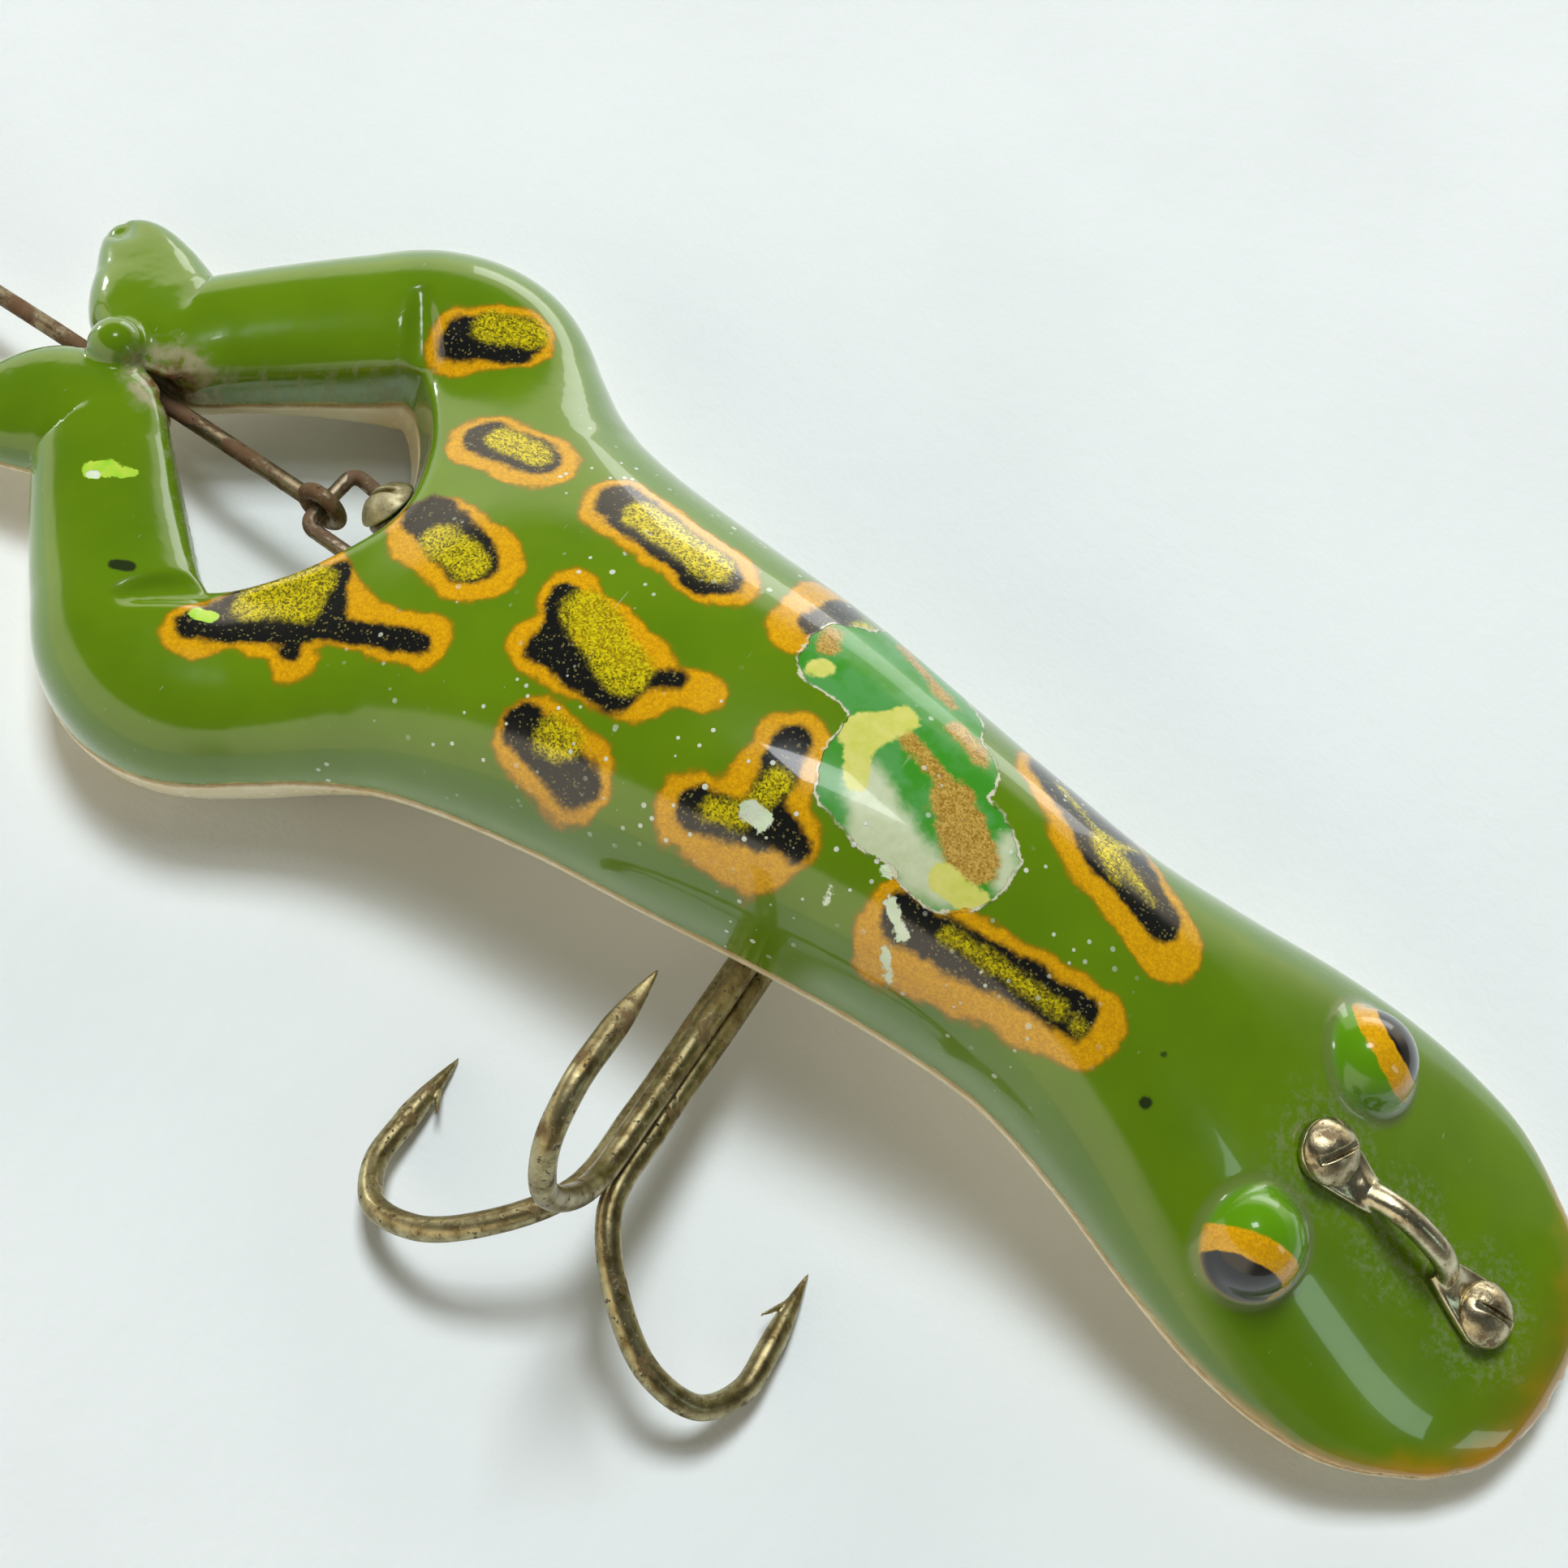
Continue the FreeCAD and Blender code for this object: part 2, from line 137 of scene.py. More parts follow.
# Body stations: x, half width, height of the seam, top of the back, bottom of the belly
STATIONS = np.array([
    (25.0, 10.0, 4.8, 9.3, 0.8), (29.5, 15.0, 5.0, 10.3, 1.3), (33.0, 16.0, 5.5, 11.7, 1.4),
    (37.5, 14.7, 6.4, 13.7, 2.1), (43.0, 12.9, 7.6, 15.7, 3.4), (50.0, 11.6, 8.8, 17.6, 4.6),
    (58.0, 10.7, 9.5, 18.9, 5.6), (66.0, 9.5, 9.6, 19.2, 5.85), (73.0, 8.7, 9.4, 18.8, 5.6),
    (79.0, 8.5, 8.9, 17.7, 4.8), (85.0, 9.6, 7.9, 15.8, 3.8), (91.0, 11.2, 6.5, 13.1, 2.4),
    (96.5, 12.2, 5.1, 10.3, 1.1), (101.0, 12.3, 4.1, 8.0, 0.4), (105.0, 11.6, 3.4, 6.1, 0.0),
    (108.3, 9.9, 2.9, 4.65, 0.0), (111.0, 7.8, 2.5, 3.85, 0.3), (112.9, 5.0, 2.2, 3.2, 0.8),
    (113.8, 2.2, 2.1, 2.7, 1.4)])
SECTION_POWER = 2.35

# Leg stations: inner edge x, y, outer edge x, y, mid height, half height
LEG_STATIONS = np.array([
    (35.0, 5.5, 37.5, 14.5, 6.2, 4.8), (31.0, 7.6, 32.8, 18.0, 5.4, 5.0), (28.0, 8.6, 27.9, 20.4, 5.1, 5.1),
    (25.6, 8.0, 23.4, 19.6, 5.0, 5.0), (23.2, 6.6, 19.4, 16.5, 5.0, 4.5), (20.0, 4.3, 15.9, 13.0, 5.1, 3.9),
    (17.0, 1.8, 13.4, 10.0, 5.2, 3.5), (14.2, -0.5, 11.6, 7.7, 5.2, 3.2), (11.3, 0.4, 9.0, 8.6, 4.9, 2.9),
    (8.6, 3.0, 7.0, 9.5, 4.5, 2.5), (6.4, 5.0, 5.4, 9.8, 4.2, 2.1), (4.9, 6.4, 4.3, 9.0, 4.0, 1.4)])

SEAM_X = [0.0, 10.0, 24.0, 33.0, 43.0, 53.0, 66.0, 79.0, 91.0, 101.0, 108.0, 120.0]
SEAM_Z = [4.0, 4.3, 4.6, 5.5, 7.6, 9.1, 9.6, 8.9, 6.5, 4.1, 2.9, 1.4]

EYES = [np.array([94.7, side * 6.3, 10.0]) for side in (1, -1)]
EYE_RADIUS = 3.0
DOME = np.array([11.0, 0.0, 7.6])
DOME_RADIUS = 1.75
SLOT_HALF_WIDTH, SLOT_HALF_HEIGHT, SLOT_HALF_LENGTH = 0.95, 1.41, 8.0
SLOT_MIDDLE, SLOT_ABOVE_SHANK = 17.5, 0.69
HEAD_RADIUS, HEAD_HEIGHT = 1.95, 1.25
PLATE_RADIUS, PLATE_THICK, TIE_WIRE = 1.85, 0.6, 0.74
TIE_REAR = np.array([95.4, 0.0, 10.85])
TIE_FRONT = np.array([107.6, 0.0, 4.95])
TIE_ALONG = (TIE_FRONT - TIE_REAR) / np.linalg.norm(TIE_FRONT - TIE_REAR)
TIE_NORMAL = np.array([-TIE_ALONG[2], 0, TIE_ALONG[0]])
REAR_SCREW = np.array([30.9, 1.9, 6.1])
REAR_SCREW_OUT = np.array([-math.cos(math.radians(40)), 0, math.sin(math.radians(40))])
REAR_DROP = math.radians(3.2)

FINE_X = np.linspace(20, 118, 3000)
FINE_BODY = spline(STATIONS[:, 0], STATIONS[:, 1:], FINE_X)
SEAM_GAP = 0.045
FINE_SEAM_X = np.linspace(0, 120, 3000)
FINE_SEAM_Z = spline(SEAM_X, SEAM_Z, FINE_SEAM_X)[:, 0]
FINE_LEG = spline(np.arange(len(LEG_STATIONS)), LEG_STATIONS, np.linspace(0, len(LEG_STATIONS) - 1, 640))
LEGS_END_X = 41.0
SHINS_END_X, RUMP_X, NOSE_X = 25.0, 25.3, 113.85


def seam_height(x):
    return np.interp(x, FINE_SEAM_X, FINE_SEAM_Z)


def torso(x, y, z):
    half, seam, top, low = (np.interp(x, FINE_X, FINE_BODY[:, k]) for k in range(4))
    tall = np.where(z > seam, top - seam, seam - low)
    f = rounded_section(np.abs(y) / half, np.abs(z - seam) / tall, half, tall, SECTION_POWER)
    f = smooth_max(f, x - NOSE_X, 1.2)
    return smooth_max(f, RUMP_X - x, 0.8)


def legs(x, y, z):
    x, side = np.broadcast_arrays(x, np.abs(y))
    here = x < LEGS_END_X
    px, py = x[here], side[here]
    best = np.full(px.shape, 1e9)
    station = np.zeros(px.shape, int)
    for i, (ix, iy, ox, oy, _, _) in enumerate(FINE_LEG):
        wide = math.hypot(ox - ix, oy - iy) / 2
        u = ((px - (ix + ox) / 2) ** 2 + (py - (iy + oy) / 2) ** 2) / (wide * wide)
        near = u < best
        best = np.where(near, u, best)
        station[near] = i
    nearest = FINE_LEG[station]
    rows = [np.full(x.shape, v) for v in (1e4, 5.0, 5.0, 5.0)]
    halves = np.hypot(nearest[:, 2] - nearest[:, 0], nearest[:, 3] - nearest[:, 1]) / 2
    for row, value in zip(rows, (best, nearest[:, 4], nearest[:, 5], halves)):
        row[here] = value
    spread, mid, tall, wide = rows
    return rounded_section(np.sqrt(spread), np.abs(z - mid) / tall, wide, tall, 2.25)


ARCH_LOW_Z, ARCH_RIM_Z = 1.0, 9.8
ARCH_LOW = [(25.4, 8.8), (27.7, 6.7), (29.3, 3.6), (29.8, 0), (29.3, -3.6), (27.7, -6.7), (25.4, -8.8)]
OPENING_TAIL = [(15.4, -0.9), (15.4, 0.9)]
ARCH_RIM = [(26.4, 10.2), (28.6, 8.1), (31.0, 4.4), (32.2, 0), (31.0, -4.4), (28.6, -8.1), (26.4, -10.2)]


def outside(x, y, outline):
    """Signed distance on the plan to a closed outline, negative inside it."""
    shape = np.broadcast(x, y).shape
    best = np.full(shape, 1e9)
    sign = np.ones(shape)
    for (ax, ay), (bx, by) in zip(outline, np.roll(outline, -1, axis=0)):
        ex, ey = bx - ax, by - ay
        t = np.clip(((x - ax) * ex + (y - ay) * ey) / (ex * ex + ey * ey), 0, 1)
        best = np.minimum(best, (x - ax - t * ex) ** 2 + (y - ay - t * ey) ** 2)
        if abs(ey) > 1e-9:
            crosses = ((y >= ay) != (y >= by)) & (x < ax + ex * (y - ay) / ey)
            sign = np.where(crosses, -sign, sign)
    return np.sqrt(best) * sign


def opening(x, y, z):
    """Signed distance to the opening between rump and shins, whose wall leans outward with height."""
    low, rim = (outside(x, y, np.vstack([path(arch, 60), OPENING_TAIL])) for arch in (ARCH_LOW, ARCH_RIM))
    return low + (rim - low) * (z - ARCH_LOW_Z) / (ARCH_RIM_Z - ARCH_LOW_Z)


def along_shank(x, z):
    """Distance along and above the rear hook's shank line."""
    dx, dz = x - REAR_PIVOT[0], z - REAR_PIVOT[2]
    along = -dx * math.cos(REAR_DROP) - dz * math.sin(REAR_DROP)
    above = -dx * math.sin(REAR_DROP) + dz * math.cos(REAR_DROP)
    return along, above


def cylinder(x, y, z, base, axis, radius, low, high):
    dx, dy, dz = x - base[0], y - base[1], z - base[2]
    t = dx * axis[0] + dy * axis[1] + dz * axis[2]
    away = np.sqrt(np.maximum(dx * dx + dy * dy + dz * dz - t * t, 0)) - radius
    return np.maximum(away, np.maximum(low - t, t - high))


def frog(x, y, z):
    """Both mouldings in one: torso, legs, eyes and dome, less the opening, folds, hook slot and seats."""
    f = smooth_min(torso(x, y, z), legs(x, y, z), 1.6)
    f = smooth_max(f, -opening(x, y, z), 0.7)
    for side in (1, -1):
        fold = capsule(x, y, z, (26.1, side * 10.0, 10.1), (23.5, side * 13.3, 10.5), 1.5, 0.9)
        f = smooth_max(f, -fold, 0.35)
        f = smooth_min(f, ball(x, y, z, EYES[0] * (1, side, 1), EYE_RADIUS), 0.8)
    f = smooth_min(f, ball(x, y, z, DOME, DOME_RADIUS), 0.5)
    along, above = along_shank(x, z)
    slot = np.maximum(np.abs(y) - SLOT_HALF_WIDTH, np.abs(along - SLOT_MIDDLE) - SLOT_HALF_LENGTH)
    slot = np.maximum(slot, np.abs(above - SLOT_ABOVE_SHANK) - SLOT_HALF_HEIGHT)
    f = smooth_max(f, -slot, 0.5)
    for seat in (TIE_REAR, TIE_FRONT):
        f = smooth_max(f, -cylinder(x, y, z, seat, TIE_NORMAL, PLATE_RADIUS + 0.15, 0, 3), 0.12)
    return smooth_max(f, -cylinder(x, y, z, REAR_SCREW, REAR_SCREW_OUT, HEAD_RADIUS + 0.15, 0, 6), 0.3)


def back_field(x, y, z):
    return smooth_max(frog(x, y, z), seam_height(x) + SEAM_GAP - z, 0.16)


def belly_field(x, y, z):
    return smooth_max(frog(x, y, z), z - seam_height(x) + SEAM_GAP, 0.22)


# ---------------------------------------------------------------- meshes from fields

def surface(field, low, high, step):
    """Vertices and four-sided faces of the surface where a field is zero, then moved closer onto it."""
    step = step * COARSER
    axes = [np.arange(a, b + step, step) for a, b in zip(low, high)]
    value = field(axes[0][:, None, None], axes[1][None, :, None], axes[2][None, None, :])
    inside = value < 0
    size = np.array(inside.shape) - 1
    corners = [(a, b, c) for a in (0, 1) for b in (0, 1) for c in (0, 1)]
    count = np.zeros(size, np.int8)
    for a, b, c in corners:
        count += inside[a:a + size[0], b:b + size[1], c:c + size[2]]
    cell = np.array(np.nonzero((count > 0) & (count < 8)))
    number = np.full(size, -1, np.int64)
    number[tuple(cell)] = np.arange(cell.shape[1])
    total = np.zeros((cell.shape[1], 3))
    hits = np.zeros(cell.shape[1])
    for a in corners:
        for axis in range(3):
            if a[axis]:
                continue
            b = list(a)
            b[axis] = 1
            va = value[tuple(cell + np.array(a)[:, None])]
            vb = value[tuple(cell + np.array(b)[:, None])]
            crossing = (va < 0) != (vb < 0)
            share = va[crossing] / (va[crossing] - vb[crossing])
            spot = np.tile(np.array(a, float), (crossing.sum(), 1))
            spot[:, axis] = share
            total[crossing] += spot
            hits[crossing] += 1
    points = np.array(low) + step * (cell.T + total / hits[:, None])
    faces = []
    for axis in range(3):
        b, c = (axis + 1) % 3, (axis + 2) % 3
        first = [slice(1, -1)] * 3
        second = [slice(1, -1)] * 3
        first[axis], second[axis] = slice(None, -1), slice(1, None)
        lower, upper = inside[tuple(first)], inside[tuple(second)]
        spot = np.array(np.nonzero(lower != upper))
        spot[b] += 1
        spot[c] += 1
        ring = []
        for db, dc in ((-1, -1), (0, -1), (0, 0), (-1, 0)):
            at = spot.copy()
            at[b] += db
            at[c] += dc
            ring.append(number[tuple(at)])
        ring = np.array(ring).T
        solid_below = inside[tuple(spot)]
        ring[~solid_below] = ring[~solid_below][:, ::-1]
        faces.append(ring)
    faces = np.vstack(faces)
    nudge = 0.02
    for _ in range(2):
        here = field(*points.T)
        slope = np.stack([field(*(points + np.eye(3)[k] * nudge).T) - here for k in range(3)], 1) / nudge
        move = slope * (here / np.maximum((slope**2).sum(1), 0.05))[:, None]
        points -= np.clip(move, -0.5 * step, 0.5 * step)
    return points, faces


def sweep(points, radii, sides=20):
    """Round wire along a line of points, closed at both ends."""
    points = np.asarray(points, float)
    radii = np.broadcast_to(np.asarray(radii, float), len(points))
    tangent = np.gradient(points, axis=0)
    tangent /= np.linalg.norm(tangent, axis=1)[:, None]
    normal = np.cross(tangent[0], (0.3, 0.9, 0.2))
    rings = []
    angle = np.linspace(0, 2 * math.pi, sides, endpoint=False)[:, None]
    for point, t, r in zip(points, tangent, radii):
        normal = normal - t * (normal @ t)
        normal /= np.linalg.norm(normal)
        other = np.cross(t, normal)
        rings.append(point + r * (np.cos(angle) * normal + np.sin(angle) * other))
    vertices = np.vstack(rings + [points[:1], points[-1:]])
    n = len(points)
    i = np.arange(sides)
    j = (i + 1) % sides
    faces = [np.stack([k * sides + i, k * sides + j, (k + 1) * sides + j, (k + 1) * sides + i], 1)
             for k in range(n - 1)]
    faces = [list(f) for f in np.vstack(faces)]
    faces += [[n * sides, b, a] for a, b in zip(i, j)]
    faces += [[n * sides + 1, (n - 1) * sides + a, (n - 1) * sides + b] for a, b in zip(i, j)]
    return vertices, faces


def joined(shapes):
    vertices, faces, start = [], [], 0
    for v, f in shapes:
        vertices.append(v)
        faces += [[int(k) + start for k in face] for face in f]
        start += len(v)
    return np.vstack(vertices), faces


def placed(shape, axes, at):
    """Turns a shape so that its x, y and z run along three directions, and moves it to a point."""
    vertices, faces = shape
    return vertices @ np.array(axes) + np.asarray(at), faces


def aimed(direction):
    """Three directions: x along direction, y level, z as nearly upward as it goes."""
    direction = np.asarray(direction) / np.linalg.norm(direction)
    side = np.cross((0, 0, 1), direction)
    side /= np.linalg.norm(side)
    return np.array([direction, side, np.cross(direction, side)])


def in_scene(name, data):
    obj = bpy.data.objects.new(name, data)
    bpy.context.scene.collection.objects.link(obj)
    return obj


metals = bpy.data.collections.new("metal_pieces")


def piece(name, shape, body, replaced, material, attributes=None):
    """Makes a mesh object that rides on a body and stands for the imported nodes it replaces."""
    vertices, faces = shape
    mesh = bpy.data.meshes.new(name)
    mesh.from_pydata(((vertices + SHIFT) / 1000).tolist(), [], [list(map(int, f)) for f in faces])
    mesh.polygons.foreach_set("use_smooth", [True] * len(mesh.polygons))
    for key, values in (attributes or {}).items():
        layer = mesh.attributes.new(key, "FLOAT", "POINT")
        layer.data.foreach_set("value", np.asarray(values, np.float32))
    mesh.validate()
    obj = in_scene(name, mesh)
    if material not in (green_lacquer, cream_plastic):
        metals.objects.link(obj)
    mesh.materials.append(material)
    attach(obj, body)
    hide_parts(*replaced)


# ---------------------------------------------------------------- shader nodes

def colour(red, green, blue):
    """Linear colour from the usual 0 to 255 values."""
    linear = [c / 255 / 12.92 if c <= 10 else ((c / 255 + 0.055) / 1.055) ** 2.4 for c in (red, green, blue)]
    return (*linear, 1.0)


class Value:
    """A node's output, with arithmetic that adds Math nodes."""

    def __init__(self, nodes, socket):
        self.nodes, self.socket = nodes, socket

    def __add__(self, other):
        return self.nodes.math("ADD", self, other)

    def __sub__(self, other):
        return self.nodes.math("SUBTRACT", self, other)

    def __mul__(self, other):
        return self.nodes.math("MULTIPLY", self, other)

    def below(self, level, soft):
        """1 where the value is under level, 0 over it, over a soft width."""
        return self.nodes.step(self, level + soft / 2, level - soft / 2)

    def above(self, level, soft):
        return self.nodes.step(self, level - soft / 2, level + soft / 2)


class Nodes:
    """A node tree that is built up node by node."""

    def __init__(self, tree):
        self.tree = tree

    def put(self, socket, value):
        """Links an input to another node's output, or sets it."""
        if isinstance(value, Value):
            self.tree.links.new(value.socket, socket)
        else:
            socket.default_value = value

    def fill(self, node, **inputs):
        """Puts values on a node's inputs, named with _ for a space."""
        for key, value in inputs.items():
            self.put(node.inputs[key.replace("_", " ")], value)
        return node

    def add(self, kind, **inputs):
        return self.fill(self.tree.nodes.new("ShaderNode" + kind), **inputs)

    def math(self, operation, *values):
        node = self.add("Math")
        node.operation = operation
        for socket, value in zip(node.inputs, values):
            self.put(socket, value)
        return Value(self, node.outputs[0])

    def step(self, value, start, end):
        """Smooth step from 0 at start to 1 at end."""
        node = self.add("MapRange", Value=value, From_Min=start, From_Max=end)
        node.interpolation_type = "SMOOTHSTEP"
        return Value(self, node.outputs[0])

    def mix(self, share, first, second):
        node = self.add("Mix")
        node.data_type = "RGBA"
        for socket, value in zip((0, 6, 7), (share, first, second)):
            self.put(node.inputs[socket], value)
        return Value(self, node.outputs[2])


class Paint(Nodes):
    """A material's node tree. Lengths in it are millimetres."""

    def __init__(self, name):
        self.material = bpy.data.materials.new(name)
        self.material.use_nodes = True
        super().__init__(self.material.node_tree)
        self.tree.nodes.clear()
        self.shader = self.add("BsdfPrincipled")
        self.add("OutputMaterial", Surface=Value(self, self.shader.outputs[0]))
        self.place = Value(self, self.add("TexCoord").outputs["Object"])

    def attribute(self, name):
        node = self.add("Attribute")
        node.attribute_name = name
        return Value(self, node.outputs["Fac"])

    def noise(self, size, detail=2.0, rough=0.5, stretch=(1, 1, 1), turn=0.0):
        """Noise from 0 to 1 whose features are about size millimetres across."""
        mapped = self.add("Mapping", Vector=self.place, Scale=stretch, Rotation=(0, 0, turn))
        node = self.add("TexNoise", Vector=Value(self, mapped.outputs[0]), Scale=1000 / size,
                        Detail=detail, Roughness=rough)
        return Value(self, node.outputs["Fac"])

    def cells(self, size, output="Distance"):
        node = self.add("TexVoronoi", Vector=self.place, Scale=1000 / size)
        return Value(self, node.outputs[output])

    def bump(self, *layers):
        """Surface relief from pairs of height value and depth in millimetres."""
        before = {}
        for height, depth in layers:
            node = self.add("Bump", Height=height, Strength=1.0, Distance=depth / 1000, **before)
            before = {"Normal": Value(self, node.outputs[0])}
        return before["Normal"]

    def finish(self, base, roughness, metallic, relief, **others):
        self.fill(self.shader, Base_Color=base, Roughness=roughness, Metallic=metallic, Normal=relief,
                  **others)
        return self.material


# ---------------------------------------------------------------- painted marks on the back

# Strokes on the plan: x, y of both ends, radius and a second one if it tapers, for each spot's orange,
# black and gold
SPOTS = [
    # left thigh
    ([(27.6, 12.3, 30.0, 14.4, 2.35)],
     [(27.6, 12.6, 30.1, 14.5, 1.55), (27.2, 11.6, 30.6, 13.3, 0.85)],
     [(28.3, 13.9, 30.4, 15.1, 1.05)]),
    # right thigh, with a tail
    ([(28.2, -12.8, 30.5, -7.0, 1.9), (30.5, -6.2, 33.0, -7.5, 2.6), (33.0, -8.2, 39.8, -7.0, 1.7),
      (31.5, -10.3, 32.5, -9.5, 2.1), (34.0, -11.5, 34.1, -11.2, 1.2)],
     [(27.7, -12.7, 28.4, -9.2, 0.75), (28.2, -12.5, 33.4, -9.4, 0.8), (33.2, -9.0, 39.6, -7.2, 0.8),
      (32.4, -5.3, 34.2, -8.4, 0.85), (33.6, -10.9, 33.2, -9.6, 0.6), (28.6, -8.4, 30.6, -5.6, 0.6),
      (29.8, -9.4, 32.2, -7.2, 1.7)],
     [(29.6, -9.2, 31.6, -6.6, 1.3), (31.4, -8.6, 32.4, -8.2, 0.9)]),
    # left rump
    ([(33.6, 6.6, 37.4, 6.7, 2.35)], [(33.4, 6.9, 37.2, 6.9, 1.45)], [(34.2, 7.3, 37.0, 7.1, 0.85)]),
    # rump centre
    ([(35.4, -0.6, 39.2, -1.5, 2.7)], [(34.6, 0.2, 38.9, -1.5, 1.65)], [(36.2, -1.0, 38.9, -1.7, 1.1)]),
    # left middle
    ([(43.4, 6.2, 51.0, 5.0, 2.4)],
     [(43.3, 6.4, 50.7, 4.9, 1.6), (44.0, 5.3, 50.6, 3.7, 0.5)],
     [(44.8, 6.3, 50.4, 5.3, 1.1)]),
    # big one on the middle
    ([(44.9, -0.7, 47.0, -2.0, 1.8), (46.0, -3.9, 51.5, -3.6, 2.2), (50.5, -3.4, 54.9, -1.9, 1.15),
      (44.9, -4.4, 45.6, -4.1, 0.8), (48.0, -1.4, 50.6, -2.2, 1.7)],
     [(44.7, -0.9, 46.0, -3.6, 0.85), (45.9, -4.1, 51.0, -4.6, 1.15), (50.8, -3.9, 53.0, -2.1, 0.6)],
     [(46.4, -1.2, 50.6, -3.2, 1.35)]),
    # right middle
    ([(48.2, -8.4, 51.8, -8.9, 1.95)], [(47.6, -8.2, 52.0, -9.1, 1.15)], [(49.2, -7.9, 50.2, -7.9, 0.9)]),
    # left, partly under the chip
    ([(56.4, 4.4, 56.2, 7.8, 1.8)], [(57.2, 5.5, 57.5, 8.0, 1.1)], [(58.8, 7.4, 59.0, 7.6, 0.5)]),
    # three arms
    ([(60.4, -2.0, 60.8, -6.0, 2.2), (57.6, -7.4, 62.5, -7.2, 1.75), (61.5, -5.6, 63.5, -5.8, 1.4)],
     [(60.3, -1.7, 61.0, -5.2, 1.0), (58.0, -7.2, 61.5, -6.4, 1.0), (61.0, -5.6, 63.7, -6.0, 0.85)],
     [(60.9, -4.0, 60.6, -6.1, 0.7), (58.8, -6.8, 60.0, -6.5, 0.45)]),
    # left of the neck
    ([(71.6, 6.2, 76.5, 4.6, 1.7, 2.9), (76.5, 4.4, 82.2, 2.2, 2.9, 2.3)],
     [(71.8, 6.7, 77.0, 4.9, 1.2, 2.1), (77.0, 4.7, 81.2, 3.1, 2.1, 1.3)],
     [(72.6, 6.4, 76.6, 4.8, 0.1), (76.6, 4.8, 78.0, 6.0, 0.55, 0.1), (76.6, 4.6, 78.2, 3.0, 0.6, 0.15),
      (76.8, 4.7, 80.4, 3.6, 0.5, 0.1)]),
    # right of the neck
    ([(70.4, -6.2, 81.2, -4.3, 2.15)], [(70.3, -5.8, 80.6, -4.2, 1.1)],
     [(72.8, -5.1, 79.6, -4.6, 0.33), (81.0, -4.6, 81.2, -4.6, 0.2)]),
]

# Strokes for the damage: the large chip, the older paints that show in it, small chips and smudges
DAMAGE = {
    "chip": [(60.2, 4.8, 63.5, 6.3, 2.9), (65.4, -0.4, 70.6, -1.4, 3.6, 3.2), (61.5, 8.5, 66.0, 5.5, 1.8),
             (63.5, 3.2, 68.0, 2.6, 2.3), (58.6, 2.8, 60.0, 3.2, 0.9)],
    "chip_yellow": [(64.2, 3.2, 62.8, 0.8, 0.75), (62.8, 0.8, 64.2, -1.6, 0.8, 0.5),
                    (71.0, -3.2, 73.0, -3.0, 0.6), (58.6, 2.8, 59.0, 3.1, 0.45)],
    "chip_brown": [(69.0, 0.5, 71.8, -1.5, 1.25), (64.8, 2.4, 68.2, 1.2, 0.35), (66.8, 4.8, 68.6, 4.0, 0.5),
                   (61.5, 8.2, 65.5, 6.2, 0.35), (57.9, 5.6, 58.3, 4.4, 0.5)],
    # The chip's pale older paint, with its lower lobe brightened toward white as a painted highlight.
    "chip_pale": [(64.6, -1.2, 66.8, -3.0, 0.9, 1.3), (66.8, -3.0, 71.2, -3.6, 1.3, 0.8),
                  (72.6, 0.6, 73.6, -1.4, 0.4)],
    "bright": [(27.5, -11.7, 28.1, -11.4, 0.45), (16.3, -8.0, 17.0, -7.2, 0.6),
               (17.8, -7.1, 18.1, -6.6, 0.35)],
    "pale": [(60.6, -5.9, 61.4, -6.0, 0.55), (69.4, -5.6, 70.9, -6.3, 0.3), (70.4, -7.2, 71.6, -7.9, 0.18),
             (66.4, -6.6, 66.6, -7.2, 0.15), (68.2, -4.4, 68.5, -4.6, 0.2), (16.4, -8.2, 16.7, -8.0, 0.3)],
    "smudge": [(21.7, -12.2, 22.5, -11.8, 0.35), (86.0, -5.3, 86.1, -5.2, 0.25),
               (85.4, -2.8, 85.5, -2.7, 0.12)]}
SPOTS_END, CHIP_END = 1.0, 4.5
HOOK_HOLE = np.array([15.0, 0.0, 6.0])

PUPIL_ANGLE, BAND_ANGLE = 41.0, 68.0
LOOKS = [np.array([0.48, 0.70, 0.58]), np.array([0.226, -0.993, 0.184])]


def eye_marks(points):
    """Each point's angle from the nearest pupil in degrees, and its distance outside the eye's ball."""
    best = np.full(len(points), 9.0)
    angle = np.full(len(points), 180.0)
    for look, centre in zip(LOOKS, EYES):
        out = points - centre
        away = np.linalg.norm(out, axis=1)
        look = look / np.linalg.norm(look)
        n = out / np.maximum(away, 1e-6)[:, None]
        lengthwise = np.array([1.0, 0, 0]) - look * look[0]
        lengthwise /= np.linalg.norm(lengthwise)
        across = np.cross(look, lengthwise)
        u, v, w = n @ lengthwise, n @ across, n @ look
        here = np.degrees(np.arctan2(np.sqrt((u / 1.3) ** 2 + v**2), w))
        near = away - EYE_RADIUS < best
        best = np.where(near, away - EYE_RADIUS, best)
        angle = np.where(near, here, angle)
    return angle, best


